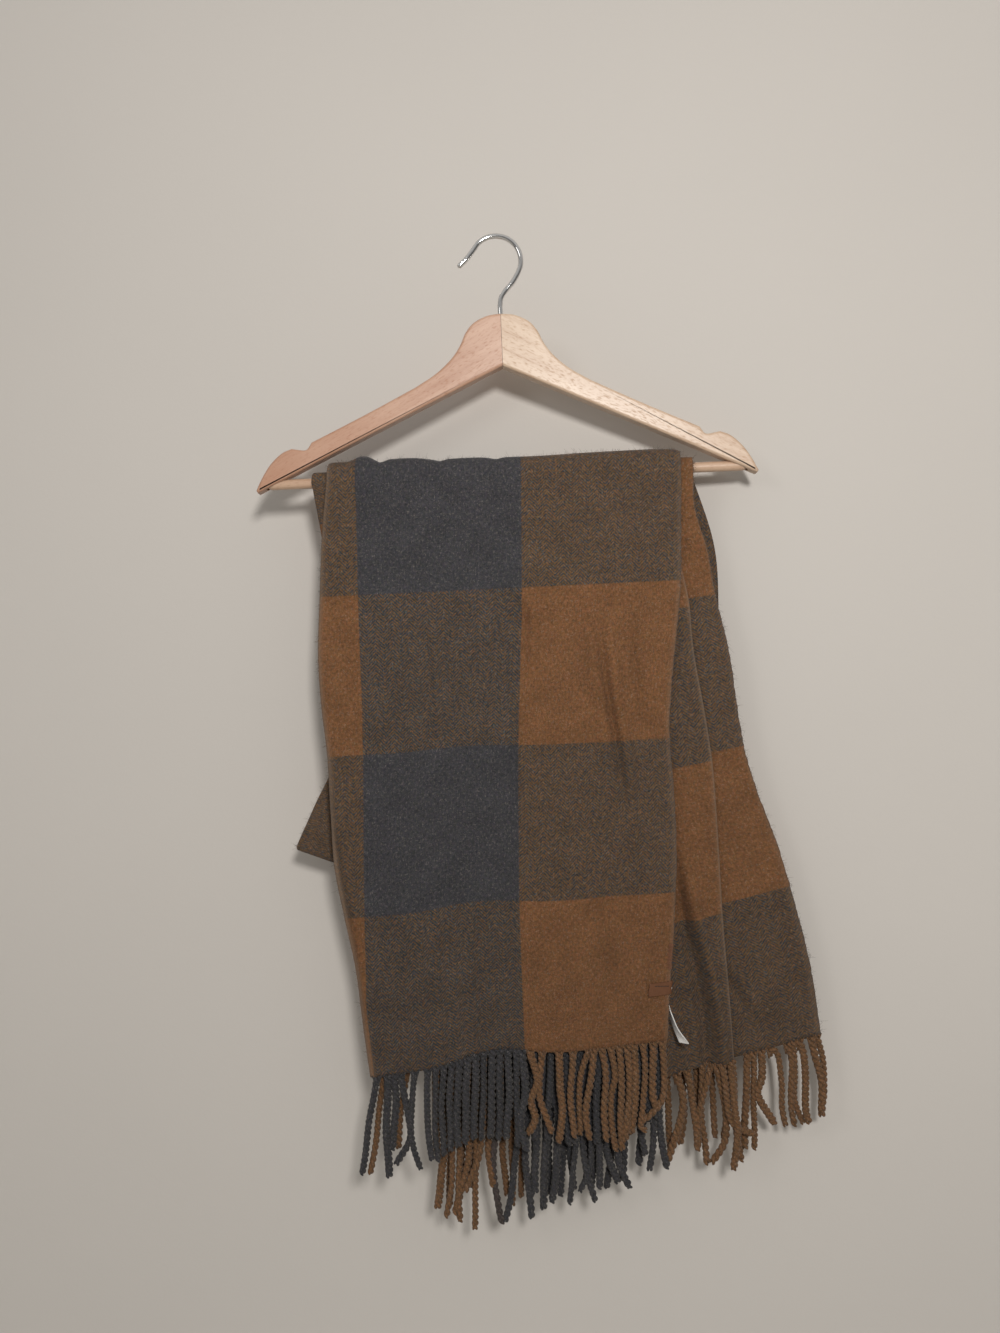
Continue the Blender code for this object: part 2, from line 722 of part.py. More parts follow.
def make_leather_label(material):
    """A tab folded round the front leaf's selvedge: long flap in front, short one behind."""
    flap, height, thickness = LEATHER_LABEL
    clear = CLOTH_THICKNESS / 2 + SEAM_GAP + thickness / 2
    stations = []
    for z in (LEATHER_LABEL_TOP, LEATHER_LABEL_TOP - height / 2, LEATHER_LABEL_TOP - height):
        rung = front_rung_at(z)
        edge = rung_width(rung)
        line = [(edge - along, -clear) for along in (flap, flap / 2, 0)]
        line += [(edge + clear * math.sin(turn), -clear * math.cos(turn)) for turn in HALF_ROUND[1:-1]]
        line += [(edge - along, clear) for along in (0, LEATHER_BACK_FLAP / 2, LEATHER_BACK_FLAP)]
        stations.append([on_rung(rung, along, rung.depth + back) for along, back in line])
    shape = wall_shape(stations, thickness)
    return add_object("leather_label", mesh_from("leather_label", shape), material)


def make_care_label(material):
    """A woven ribbon held behind the front leaf's selvedge, curling out to the right.
    Its edge faces the viewer."""
    rung = front_rung_at(CARE_LABEL_TOP)
    near = rung.depth + CLOTH_THICKNESS / 2 + SEAM_GAP
    start = on_rung(rung, rung_width(rung) - 0.002, 0)
    route = smooth_curve(
        [start + Vector((step.right, 0, -step.down)) for step in CARE_LABEL_CURL], 3
    )
    stations = [
        [
            Vector((point.x - CARE_LABEL_LEAN * share, near + CARE_LABEL_WIDTH * share, point.z))
            for share in (0, 0.5, 1)
        ]
        for point in route
    ]
    shape = wall_shape(stations, CARE_LABEL_THICKNESS)
    return add_object("care_label", mesh_from("care_label", shape), material)


clear_scene()
make_hanger()

wool = make_material("plaid_wool", (0.16, 0.11, 0.08), 0.95)
front = front_stations()
make_wall("front_end", front, (0,), wool)
under = under_stations()
make_wall("under_end", under, (0,), wool)
loop = loop_stations()
make_wall("back_fold", loop, (0, len(loop) - 1), wool)

twisted_wool = make_material("twisted_wool", (0.20, 0.12, 0.07), 0.95)
make_fringe("front_fringe", strand_cells(front[-1]), FRONT_FRINGE_LENGTH, (22,), twisted_wool)
make_fringe("under_fringe", strand_cells(under[-1]), UNDER_FRINGE_LENGTH, (), twisted_wool)

leather = make_material("rust_leather", (0.38, 0.13, 0.05), 0.55)
make_leather_label(leather)
satin = make_material("white_satin", (0.75, 0.74, 0.72), 0.4)
make_care_label(satin)
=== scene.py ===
"""The looks of a plaid wool scarf on its wooden hanger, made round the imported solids.

Metres. X right, Y away from the viewer, Z up. The origin is the inner top of the hook's
crook. The sections follow how the thing is put together: hook, wooden arms, trouser bar,
the three stretches of cloth, their fringe and raised fibres, the two labels, then the
room and the camera.
"""

import math

import bmesh
import bpy
import numpy as np
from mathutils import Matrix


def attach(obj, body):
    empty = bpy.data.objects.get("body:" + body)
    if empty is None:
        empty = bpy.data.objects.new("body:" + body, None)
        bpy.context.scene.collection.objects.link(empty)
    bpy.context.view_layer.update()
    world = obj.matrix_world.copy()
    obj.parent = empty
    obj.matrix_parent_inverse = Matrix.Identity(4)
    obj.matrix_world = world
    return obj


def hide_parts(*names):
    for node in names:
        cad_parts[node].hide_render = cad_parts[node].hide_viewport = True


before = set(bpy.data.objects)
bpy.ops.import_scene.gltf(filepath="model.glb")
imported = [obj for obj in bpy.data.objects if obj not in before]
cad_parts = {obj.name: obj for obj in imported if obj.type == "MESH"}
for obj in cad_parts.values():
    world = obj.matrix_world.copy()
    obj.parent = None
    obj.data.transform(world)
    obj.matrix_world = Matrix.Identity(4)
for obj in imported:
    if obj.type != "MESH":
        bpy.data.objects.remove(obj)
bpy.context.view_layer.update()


# Hook: one bent wire of chromed steel, its free end rounded off, its straight shank
# pressed down into a hole between the two wooden arms.

HANGER_ROLL = math.radians(2.4)
HANGER_MIDLINE = 0.0025
CROWN_TOP = 0.0683
WIRE_RADIUS = 0.0023
CROOK_RADIUS = 0.0222
CROOK_CENTRE = (0.0003, WIRE_RADIUS - CROOK_RADIUS)
CROOK_DEGREES = (152, -22)
CROOK_POINTS = 9
WIRE_SIDES = 20
WIRE_STEPS = 8

# The wire's middle line on each side of the round crook, as (x, height)
FREE_END = ((-0.0318, -0.0226), (-0.0258, -0.0172))
NECK = (
    (0.0150, -0.0385),
    (0.0085, -0.0458),
    (0.0040, -0.0520),
    (HANGER_MIDLINE, -0.0590),
    (HANGER_MIDLINE, -CROWN_TOP),
    (HANGER_MIDLINE, -CROWN_TOP - 0.018),
)


def smooth_rows(rows, steps):
    """The rows with smooth ones between them, so many steps to each gap."""
    rows = np.asarray(rows, float)
    first = 2 * rows[0] - rows[1]
    last = 2 * rows[-1] - rows[-2]
    ends = np.concatenate([first[None], rows, last[None]])
    made = []
    for before, start, end, after in zip(ends, ends[1:], ends[2:], ends[3:]):
        for t in np.arange(steps) / steps:
            bend = (2 * before - 5 * start + 4 * end - after) * t**2
            twist = (3 * start - before - 3 * end + after) * t**3
            made.append((2 * start + (end - before) * t + bend + twist) / 2)
    made.append(rows[-1])
    return np.array(made)


def unit(vectors):
    return vectors / np.maximum(np.linalg.norm(vectors, axis=-1, keepdims=True), 1e-12)


def hang_askew(points):
    """Points of the straight hanger, turned as it hangs, its left end lower."""
    x, y, z = np.asarray(points, float).T
    cos, sin = math.cos(HANGER_ROLL), math.sin(HANGER_ROLL)
    return np.stack([x * cos - z * sin, y, x * sin + z * cos], axis=1)


def round_wire(route, radius, sides):
    """Points and faces of a wire along the route, with both ends rounded off."""
    start, end = unit(route[0] - route[1]), unit(route[-1] - route[-2])
    turns = np.radians((0, 30, 55, 75))
    caps = np.sin(turns)[:, None] * radius
    line = np.concatenate([(route[0] + start * caps)[::-1], route[1:-1], route[-1] + end * caps])
    radii = np.full(len(line), radius)
    radii[: len(turns)] = radius * np.cos(turns[::-1])
    radii[-len(turns) :] = radius * np.cos(turns)
    along = unit(np.gradient(line, axis=0))
    flat = np.array([0.0, 1.0, 0.0])
    across = unit(np.cross(along, flat))
    flat = unit(np.cross(across, along))
    angles = np.linspace(0, 2 * math.pi, sides, endpoint=False)
    cos, sin = np.cos(angles)[:, None], np.sin(angles)[:, None]
    ring = across[:, None] * cos + flat[:, None] * sin
    points = (line[:, None] + ring * radii[:, None, None]).reshape(-1, 3)
    faces = []
    for row in range(len(line) - 1):
        for side in range(sides):
            following = (side + 1) % sides
            a, b = row * sides + side, row * sides + following
            faces.append((a, b, b + sides, a + sides))
    faces.append(tuple(range(sides))[::-1])
    faces.append(tuple(range(len(points) - sides, len(points))))
    return points, faces


def mesh_of(name, points, faces, places=None):
    """A smooth mesh with its faces turned outwards. places gives each point's spot on
    the flat cloth, in metres."""
    mesh = bpy.data.meshes.new(name)
    mesh.from_pydata(np.asarray(points).tolist(), [], faces)
    if places is not None:
        corner_points = np.empty(len(mesh.loops), np.int32)
        mesh.loops.foreach_get("vertex_index", corner_points)
        layer = mesh.uv_layers.new(name="cloth")
        layer.data.foreach_set("uv", np.asarray(places, np.float32)[corner_points].ravel())
    shape = bmesh.new()
    shape.from_mesh(mesh)
    bmesh.ops.recalc_face_normals(shape, faces=shape.faces)
    shape.to_mesh(mesh)
    shape.free()
    mesh.shade_smooth()
    return mesh


def add_piece(mesh, material, slot, *replaced):
    """Puts the mesh on the hanger's body, in place of the solids that it stands for."""
    piece = bpy.data.objects.new(mesh.name, mesh)
    mesh.materials.append(material)
    bpy.context.scene.collection.objects.link(piece)
    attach(piece, "root")
    if replaced:
        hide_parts(*replaced)
    return piece


def feed(tree, sockets, values):
    """Gives each named socket its value, or links it to another node's output."""
    for socket, value in values.items():
        if isinstance(value, bpy.types.NodeSocket):
            tree.links.new(value, sockets[socket])
        else:
            sockets[socket].default_value = value


def add_node(tree, kind, values, **settings):
    """A shader node with its settings and the values of its sockets."""
    made = tree.nodes.new(kind)
    for setting, value in settings.items():
        setattr(made, setting, value)
    feed(tree, made.inputs, values)
    return made


def noise(tree, place, scale, detail, **settings):
    """A noise texture's outputs."""
    inputs = {"Vector": place, "Scale": scale, "Detail": detail, **settings}
    return add_node(tree, "ShaderNodeTexNoise", inputs).outputs


def ranged(tree, value, from_low, from_high, to_low=0.0, to_high=1.0):
    """The value moved from one range to another, and kept inside it."""
    inputs = dict(enumerate((value, from_low, from_high, to_low, to_high)))
    return add_node(tree, "ShaderNodeMapRange", inputs).outputs["Result"]


def object_place(tree):
    return add_node(tree, "ShaderNodeTexCoord", {}).outputs["Object"]


def new_material(name, **settings):
    """A material, its tree and its shader, with the shader's plain settings made."""
    material = bpy.data.materials.new(name)
    material.use_nodes = True
    tree = material.node_tree
    shader = tree.nodes["Principled BSDF"]
    for socket, value in settings.items():
        shader.inputs[socket.replace("_", " ")].default_value = value
    return material, tree, shader


def plated_steel():
    """Chrome with faint smears from handling."""
    material, tree, shader = new_material(
        "chrome_plate", Base_Color=(0.62, 0.61, 0.60, 1), Metallic=1.0
    )
    smears = noise(tree, object_place(tree), 260.0, 3.0)["Fac"]
    feed(tree, shader.inputs, {"Roughness": ranged(tree, smears, 0.3, 0.7, 0.04, 0.11)})
    return material


crook_angles = np.radians(np.linspace(*CROOK_DEGREES, CROOK_POINTS))
crook_ways = np.stack([np.cos(crook_angles), np.sin(crook_angles)], axis=1)
crook = np.array(CROOK_CENTRE) + CROOK_RADIUS * crook_ways
wire_line = smooth_rows(np.concatenate([FREE_END, crook, NECK]), WIRE_STEPS)
wire_route = hang_askew(np.stack([wire_line[:, 0], 0 * wire_line[:, 0], wire_line[:, 1]], 1))
hook_mesh = mesh_of("chrome_hook", *round_wire(wire_route, WIRE_RADIUS, WIRE_SIDES))
hook = add_piece(hook_mesh, plated_steel(), "chrome", "hanger_hook")
hook.visible_shadow = False


# Wooden arms: two halves sawn from board, butted at the crown, their edges rounded over
# and sealed with satin lacquer. The left half is a pinker board than the right.

SEAM_GAP = 0.0003
WOOD_THICKNESS = 0.014
WOOD_ROUNDING = 0.0026
ARM_SLOPE = math.radians(28)
BAR_RADIUS = 0.0045
BAR_DROP = 0.2103
BAR_HALF_LENGTH = 0.2130

# The right arm's outline, as (distance from the midline, height)
ARM_CROWN = (
    (SEAM_GAP / 2, -CROWN_TOP),
    (0.0122, -0.0698),
    (0.0244, -0.0757),
    (0.0318, -0.0842),
    (0.0370, -0.0950),
    (0.0451, -0.1063),
    (0.0590, -0.1188),
    (0.0778, -0.1303),
)
ARM_NOTCH = (
    (0.1715, -0.1751),
    (0.1745, -0.1797),
    (0.1768, -0.1815),
    (0.1800, -0.1815),
    (0.1830, -0.1810),
)
ARM_END = (
    (0.1893, -0.1799),
    (0.1985, -0.1838),
    (0.2085, -0.1930),
    (0.2160, -0.2040),
    (0.2219, -0.2156),
)
ARM_UNDERSIDE = ((0.2205, -0.2178), (SEAM_GAP / 2, -0.1147))


def new_group(name, inputs, outputs):
    """A node group with the given sockets, and its inner input and output nodes."""
    group = bpy.data.node_groups.new(name, "ShaderNodeTree")
    for socket, kind in inputs:
        group.interface.new_socket(socket, in_out="INPUT", socket_type=kind)
    for socket, kind in outputs:
        group.interface.new_socket(socket, in_out="OUTPUT", socket_type=kind)
    entry = group.nodes.new("NodeGroupInput").outputs
    leave = group.nodes.new("NodeGroupOutput").inputs
    return group, entry, leave


def mix_colours(tree, share, first, second, blend="MIX"):
    """The output of a node that mixes two colours."""
    kind = {"data_type": "RGBA", "blend_type": blend, "clamp_factor": True}
    values = {0: share, 6: first, 7: second}
    return add_node(tree, "ShaderNodeMix", values, **kind).outputs[2]


def calculate(tree, operation, *values):
    """The output of a math node."""
    inputs = dict(enumerate(values))
    return add_node(tree, "ShaderNodeMath", inputs, operation=operation).outputs[0]


def bump(tree, shader, height, strength, distance):
    """Feeds the height to the shader's normal."""
    inputs = {"Height": height, "Strength": strength, "Distance": distance}
    made = add_node(tree, "ShaderNodeBump", inputs)
    feed(tree, shader.inputs, {"Normal": made.outputs["Normal"]})


def stretched(tree, place, scale):
    """The place with each of its axes scaled."""
    made = add_node(tree, "ShaderNodeVectorMath", {0: place, 1: scale}, operation="MULTIPLY")
    return made.outputs[0]


def wood_grain_group():
    """Growth lines, pores and slow changes of tone in board whose grain runs along X."""
    group, entry, leave = new_group(
        "wood_grain",
        (
            ("Place", "NodeSocketVector"),
            ("Pale", "NodeSocketColor"),
            ("Dark", "NodeSocketColor"),
            ("Lines", "NodeSocketFloat"),
        ),
        (
            ("Colour", "NodeSocketColor"),
            ("Roughness", "NodeSocketFloat"),
            ("Height", "NodeSocketFloat"),
        ),
    )
    place = entry["Place"]
    rings = stretched(group, place, (5.0, 300.0, 420.0))
    growth = noise(group, rings, 1.0, 3.0, Distortion=0.3)["Fac"]
    lines = calculate(group, "MULTIPLY", ranged(group, growth, 0.50, 0.72), entry["Lines"])
    pore_noise = noise(group, stretched(group, place, (210.0, 1050.0, 1050.0)), 1.0, 2.0)["Fac"]
    pores = ranged(group, pore_noise, 0.54, 0.70)
    tone = noise(group, stretched(group, place, (16.0, 90.0, 90.0)), 1.0, 4.0)["Fac"]
    streaks = calculate(group, "ADD", calculate(group, "MULTIPLY", pores, 0.45), lines)
    darkness = calculate(group, "ADD", ranged(group, tone, 0.3, 0.75, 0.0, 0.5), streaks)
    made = {
        "Colour": mix_colours(group, darkness, entry["Pale"], entry["Dark"]),
        "Roughness": calculate(group, "MULTIPLY_ADD", pores, 0.16, 0.36),
        "Height": calculate(group, "MULTIPLY", pores, -1.0),
    }
    feed(group, leave, made)
    return group


def place_group(tree, group, values):
    """The outputs of the group's node in a tree, with its own values."""
    return add_node(tree, "ShaderNodeGroup", values, node_tree=group).outputs


wood_grain = wood_grain_group()


def lacquered_wood(name, pale, dark, lines, slope, shift, painted_end_darkening):
    """Lacquered wood. slope is how far its grain rises to the right, and the last argument how much
    darker the board is painted towards the hanger's ends: painted shade, leaving the crown, where
    the light falls brightest, lighter."""
    material, tree, shader = new_material(
        name, Specular_IOR_Level=0.35, Coat_Weight=0.08, Coat_Roughness=0.3
    )
    place = object_place(tree)
    turned = {"Vector": place, "Location": shift, "Rotation": (0, slope, 0)}
    board = add_node(tree, "ShaderNodeMapping", turned).outputs[0]
    grain = place_group(
        tree, wood_grain, {"Place": board, "Pale": (*pale, 1), "Dark": (*dark, 1), "Lines": lines}
    )
    from_middle = add_node(tree, "ShaderNodeSeparateXYZ", {0: place}).outputs["X"]
    outward = calculate(tree, "ABSOLUTE", from_middle)
    # Painted shade: the board darkens towards the hanger's ends, so the crown, where the light falls
    # brightest, shows lighter
    painted_darker_ends = ranged(tree, outward, 0.02, 0.20, 0.0, painted_end_darkening)
    colour = mix_colours(tree, painted_darker_ends, grain["Colour"], (*dark, 1))
    feed(tree, shader.inputs, {"Base Color": colour, "Roughness": grain["Roughness"]})
    bump(tree, shader, grain["Height"], 0.3, 0.0002)
    return material


def rod(name, length, radius, centre, direction):
    """A plain rod, used only to cut a hole. direction is its axis, X or Z."""
    shape = bmesh.new()
    bmesh.ops.create_cone(
        shape, cap_ends=True, segments=32, radius1=radius, radius2=radius, depth=length
    )
    mesh = bpy.data.meshes.new(name)
    shape.to_mesh(mesh)
    shape.free()
    points = np.empty(len(mesh.vertices) * 3)
    mesh.vertices.foreach_get("co", points)
    points = points.reshape(-1, 3)
    if direction == "X":
        points = points[:, (2, 1, 0)] * (1, -1, 1)
    mesh.vertices.foreach_set("co", hang_askew(points + centre).ravel())
    cutter = bpy.data.objects.new(name, mesh)
    bpy.context.scene.collection.objects.link(cutter)
    return cutter


def round_over(shape, edges, offset, segments):
    """Rounds the edges, and turns the shape's faces outwards."""
    settings = {"offset": offset, "segments": segments, "profile": 0.5, "affect": "EDGES"}
    bmesh.ops.bevel(shape, geom=edges, **settings)
    bmesh.ops.recalc_face_normals(shape, faces=shape.faces)


def arm_mesh(name, side, cutters):
    """One arm of the hanger, with its edges rounded over and its holes cut."""
    crown = smooth_rows(ARM_CROWN, 6)
    slope = smooth_rows((ARM_CROWN[-1], (0.1240, -0.1530), ARM_NOTCH[0]), 5)[1:-1]
    notch = smooth_rows(ARM_NOTCH, 2)
    end = smooth_rows(ARM_END, 5)
    outline = np.concatenate([crown, slope, notch, end, ARM_UNDERSIDE])
    shape = bmesh.new()
    front = shape.faces.new(
        [shape.verts.new((HANGER_MIDLINE + side * x, -WOOD_THICKNESS / 2, z)) for x, z in outline]
    )
    extruded = bmesh.ops.extrude_face_region(shape, geom=[front])["geom"]
    back = [item for item in extruded if isinstance(item, bmesh.types.BMVert)]
    bmesh.ops.translate(shape, verts=back, vec=(0, WOOD_THICKNESS, 0))
    rims = [
        edge
        for edge in shape.edges
        if abs(edge.verts[0].co.y - edge.verts[1].co.y) < WOOD_THICKNESS / 2
        and not all(abs(point.co.x - HANGER_MIDLINE) < SEAM_GAP for point in edge.verts)
    ]
    round_over(shape, rims, WOOD_ROUNDING, 4)
    solid = bpy.data.meshes.new(name + "_board")
    shape.to_mesh(solid)
    shape.free()
    points = np.empty(len(solid.vertices) * 3)
    solid.vertices.foreach_get("co", points)
    solid.vertices.foreach_set("co", hang_askew(points.reshape(-1, 3)).ravel())
    board = bpy.data.objects.new(name + "_board", solid)
    bpy.context.scene.collection.objects.link(board)
    for cutter in cutters:
        hole = board.modifiers.new(cutter.name, "BOOLEAN")
        hole.operation = "DIFFERENCE"
        hole.object = cutter
    bpy.context.view_layer.update()
    graph = bpy.context.evaluated_depsgraph_get()
    mesh = bpy.data.meshes.new_from_object(board.evaluated_get(graph))
    mesh.name = name
    bpy.data.objects.remove(board, do_unlink=True)
    mesh.shade_smooth()
    mesh.set_sharp_from_angle(angle=math.radians(40))
    return mesh


socket_cutter = rod(
    "sockets",
    2 * (BAR_HALF_LENGTH + SEAM_GAP),
    BAR_RADIUS + SEAM_GAP,
    (HANGER_MIDLINE, 0, -BAR_DROP),
    "X",
)
shank_cutter = rod(
    "shank_hole",
    0.0366,
    WIRE_RADIUS + 2 * SEAM_GAP,
    (HANGER_MIDLINE, 0, -CROWN_TOP),
    "Z",
)
cutters = (socket_cutter, shank_cutter)
pink_board = lacquered_wood(
    "pink_board",
    (0.49, 0.315, 0.225),
    (0.31, 0.145, 0.080),
    0.25,
    ARM_SLOPE + HANGER_ROLL,
    (0.0, 0.03, 0.06),
    0.5,
)
pale_board = lacquered_wood(
    "pale_board",
    (0.57, 0.435, 0.322),
    (0.36, 0.22, 0.135),
    0.4,
    HANGER_ROLL - ARM_SLOPE,
    (0.0, 0.05, 0.13),
    0.12,
)
left_mesh = arm_mesh("wooden_arm_left", -1, cutters)
arm_left = add_piece(left_mesh, pink_board, "pink_wood", "hanger_arm_left")
right_mesh = arm_mesh("wooden_arm_right", 1, cutters)
arm_right = add_piece(right_mesh, pale_board, "pale_wood", "hanger_arm_right")
for arm in (arm_left, arm_right):
    arm.modifiers.new("flat_sides", "WEIGHTED_NORMAL").keep_sharp = True
for cutter in cutters:
    bpy.data.objects.remove(cutter, do_unlink=True)


# Trouser bar: a turned wooden dowel, its ends pushed into blind sockets in the arms.

BAR_SIDES = 28
bar_ends = [(HANGER_MIDLINE + side * BAR_HALF_LENGTH, 0, -BAR_DROP) for side in (-1, 1)]
bar_line = np.linspace(*bar_ends, 60)
bar_line[0, 0] += BAR_RADIUS
bar_line[-1, 0] -= BAR_RADIUS
bar_route = hang_askew(bar_line)
dowel_wood = lacquered_wood(
    "dowel_wood", (0.48, 0.33, 0.228), (0.33, 0.19, 0.118), 0.4, HANGER_ROLL, (0.0, 0.01, 0.02), 0.0
)
bar_mesh = mesh_of("wooden_bar", *round_wire(bar_route, BAR_RADIUS, BAR_SIDES))
add_piece(bar_mesh, dowel_wood, "pale_wood", "trouser_bar")


# Front end: the end of the scarf that hangs in front. The cloth is a brushed wool
# twill in rust and slate checks, folded once lengthwise with the fold at the left, and
# laid over the bar on top of everything else.

TENTH_OF_MM = 1e-4
CLOTH_THICKNESS = 0.0018
LAYER_PITCH = 0.0028
INNER_LEAF_RADIUS = BAR_RADIUS + SEAM_GAP + CLOTH_THICKNESS / 2
UNDER_LEAF_RADIUS = INNER_LEAF_RADIUS + LAYER_PITCH / 2
FRONT_LEAF_RADIUS = INNER_LEAF_RADIUS + LAYER_PITCH * 1.5 + 0.0024
CLOTH_WIDTH = 0.710
STRIPE = 0.142
ROW = 0.1375
CLOTH_LENGTH = 14 * ROW
HALF_ROUND = np.radians(np.linspace(0, 180, 9))
HEM_LIFT = 0.0105
HEM_LIFT_AT = 0.42
HEM_LIFT_SPAN = 0.15
FAR_LEAF_CREASES = 0.7
CREASE_END_SHARE = 0.3
CREASE_AT_ENDS = 0.15
RIPPLE_FADE = 0.034
RIPPLE_FORWARD = 0.45
SELVEDGE_WANDER = 0.0004
EDGE_BULGE = 0.6

# The front's rungs from the bar to the hem. A rung is a straight line across the folded
# cloth: its left end at the fold, its right end at the selvedge, the depth of the near
# leaf, how far behind it the far leaf lies, how much shorter that is, how many checks
# up from the hem it is, and the shares of its width where two stripes of the check meet.
FRONT_RUNGS = (
    (-0.1502, -0.2693, 0.1626, -0.2545, -0.0146, 0.0030, 0.008, 3.360, 0.096, 0.556),
    (-0.1518, -0.3191, 0.1621, -0.3043, -0.0158, 0.0034, 0.008, 3.000, 0.105, 0.560),
    (-0.1531, -0.3696, 0.1580, -0.3539, -0.0170, 0.0038, 0.008, 2.638, 0.116, 0.566),
    (-0.1502, -0.4131, 0.1535, -0.3983, -0.0180, 0.0042, 0.008, 2.325, 0.116, 0.567),
    (-0.1448, -0.4582, 0.1519, -0.4417, -0.0190, 0.0046, 0.008, 2.000, 0.104, 0.560),
    (-0.1418, -0.5084, 0.1554, -0.4884, -0.0200, 0.0050, 0.008, 1.642, 0.095, 0.549),
    (-0.1385, -0.5542, 0.1572, -0.5316, -0.0210, 0.0054, 0.008, 1.315, 0.086, 0.541),
    (-0.1297, -0.5981, 0.1559, -0.5739, -0.0220, 0.0058, 0.008, 1.000, 0.061, 0.530),
    (-0.1200, -0.6420, 0.1540, -0.6160, -0.0229, 0.0061, 0.008, 0.679, 0.032, 0.522),
    (-0.1139, -0.6866, 0.1504, -0.6590, -0.0238, 0.0063, 0.008, 0.352, 0.015, 0.524),
    (-0.1068, -0.7346, 0.1493, -0.7018, -0.0245, 0.0065, 0.008, 0.000, 0.003, 0.520),
)
FRONT_AT_BAR = (-0.1460, 0.1628)
FRONT_INSET = 0.008
FRONT_BAR_CHECKS = (3.90, 3.74)
FRONT_BAR_STRIPES = (0.079, 0.548)

# How far the layers stand off the bar in small ridges, as (x, how far) in tenths of
# a millimetre
BAR_RIPPLES = (
    (-1560, 12), (-1433, 29), (-1282, 36), (-1190, 72), (-1120, 68), (-1060, 38), (-1006, 12),
    (-960, 28), (-900, 40), (-714, 40), (-570, 22), (-466, 2), (-400, 20), (-120, 21), (20, 1),
    (100, 14), (404, 14), (874, 26), (1522, 30), (1628, 6),
)

# Soft creases of the front: half the crease's width, how far it goes back, or comes
# forward if below zero, and then x and height of each point down its line, all in
# tenths of a millimetre.
FRONT_CREASES = (
    (28, 40, 898, -3390, 960, -3850, 1035, -4300, 1090, -4650, 1140, -5000),
    (30, 30, 1168, -3380, 1272, -4080, 1360, -4460),
    (50, -52, 985, -3300, 1060, -4000, 1150, -4500, 1215, -5100),
    (56, -44, 810, -3300, 870, -3850, 945, -4300, 1010, -5000),
    (120, -24, 700, -3500, 790, -4000, 880, -4520, 860, -5200),
    (26, 14, -450, -2500, -465, -2810),
    (25, 14, -812, -2190, -795, -2400),
    (34, 14, -1180, -2220, -1210, -2620),
    (40, 16, -10, -2160, -30, -2500),
    (34, 42, 170, -3180, 250, -3300, 280, -3520),
    (44, -36, 330, -3220, 350, -3450, 320, -3900),
    (44, 30, -620, -3300, -560, -4200, -620, -4800),
    (44, 32, 230, -4000, 170, -4500, 190, -5200),
    (60, 30, 1010, -5400, 960, -6000, 1000, -6800),
    (150, 16, 70, -4900, 85, -5750),
    (260, -26, -900, -3300, -800, -5000, -720, -7000),
    (200, 22, -350, -3500, -300, -5200, -300, -7000),
    (280, -22, 420, -3000, 480, -4800, 560, -7000),
    (240, -50, 1450, -5200, 1430, -6200, 1420, -7200),
    (42, 30, -1480, -4700, -1350, -5560, -1290, -5900, -1195, -6465, -1100, -7400),
    (24, -16, -1430, -4650, -1292, -5560, -1232, -5860, -1145, -6465, -1058, -7400),
    (22, 7, -1600, -2620, -1300, -2640),
    (26, 8, -1600, -2900, -1280, -2880),
    (22, 7, -1600, -3050, -1320, -3060),
)


def half_round(radius):
    """A turn in the cloth: how far it reaches out, and how far back it goes."""
    return radius * np.sin(HALF_ROUND), radius - radius * np.cos(HALF_ROUND)


def folded_section(near_width, far_width, spread, near_steps, far_steps):
    """The folded cloth across one rung, from the near leaf's selvedge round the fold to
    the far leaf's: how far along the rung and how far back."""
    radius = spread / 2
    near = np.linspace(near_width, radius, near_steps + 1)[:-1]
    far = np.linspace(radius, far_width, far_steps + 1)[1:]
    out, turn_back = half_round(radius)
    along = np.concatenate([near, radius - out, far])
    return along, np.concatenate([0 * near, turn_back, 0 * far + spread])


def cloth_length(along, back):
    """How much cloth lies between the section's first point and each of the others."""
    steps = np.hypot(np.diff(along), np.diff(back))
    return np.concatenate([[0], np.cumsum(steps)])


def on_rung(left, right, along, depth):
    """Points so far along the line from left to right, at the given depth."""
    left, right = np.array(left), np.array(right)
    across = unit(right - left)
    spots = left + along[:, None] * across
    return np.stack([spots[:, 0], depth + 0 * along, spots[:, 1]], axis=1)


def bar_height(x):
    """Height of the bar's middle line at x."""
    middle_x = HANGER_MIDLINE * math.cos(HANGER_ROLL) + BAR_DROP * math.sin(HANGER_ROLL)
    middle_z = HANGER_MIDLINE * math.sin(HANGER_ROLL) - BAR_DROP * math.cos(HANGER_ROLL)
    return middle_z + (x - middle_x) * math.tan(HANGER_ROLL)


def over_bar(along, radius, angle, left):
    """Points on the bend over the bar. The angle is 0 on top, positive to the viewer."""
    x = left + along * math.cos(HANGER_ROLL)
    back = -np.abs(radius * math.sin(angle)) * np.sign(angle)
    return np.stack([x, back, bar_height(x) + radius * math.cos(angle)], axis=1)


def with_place(points, across, checks):
    """Points with their places on the flat cloth beside them."""
    return np.concatenate([points, across[:, None], (checks * ROW + 0 * across)[:, None]], axis=1)


def hem_lift(share, nearness):
    """How far the front hem rises at a share of its width, fading out above the hem."""
    return HEM_LIFT * nearness * np.exp(-(((share - HEM_LIFT_AT) / HEM_LIFT_SPAN) ** 2))


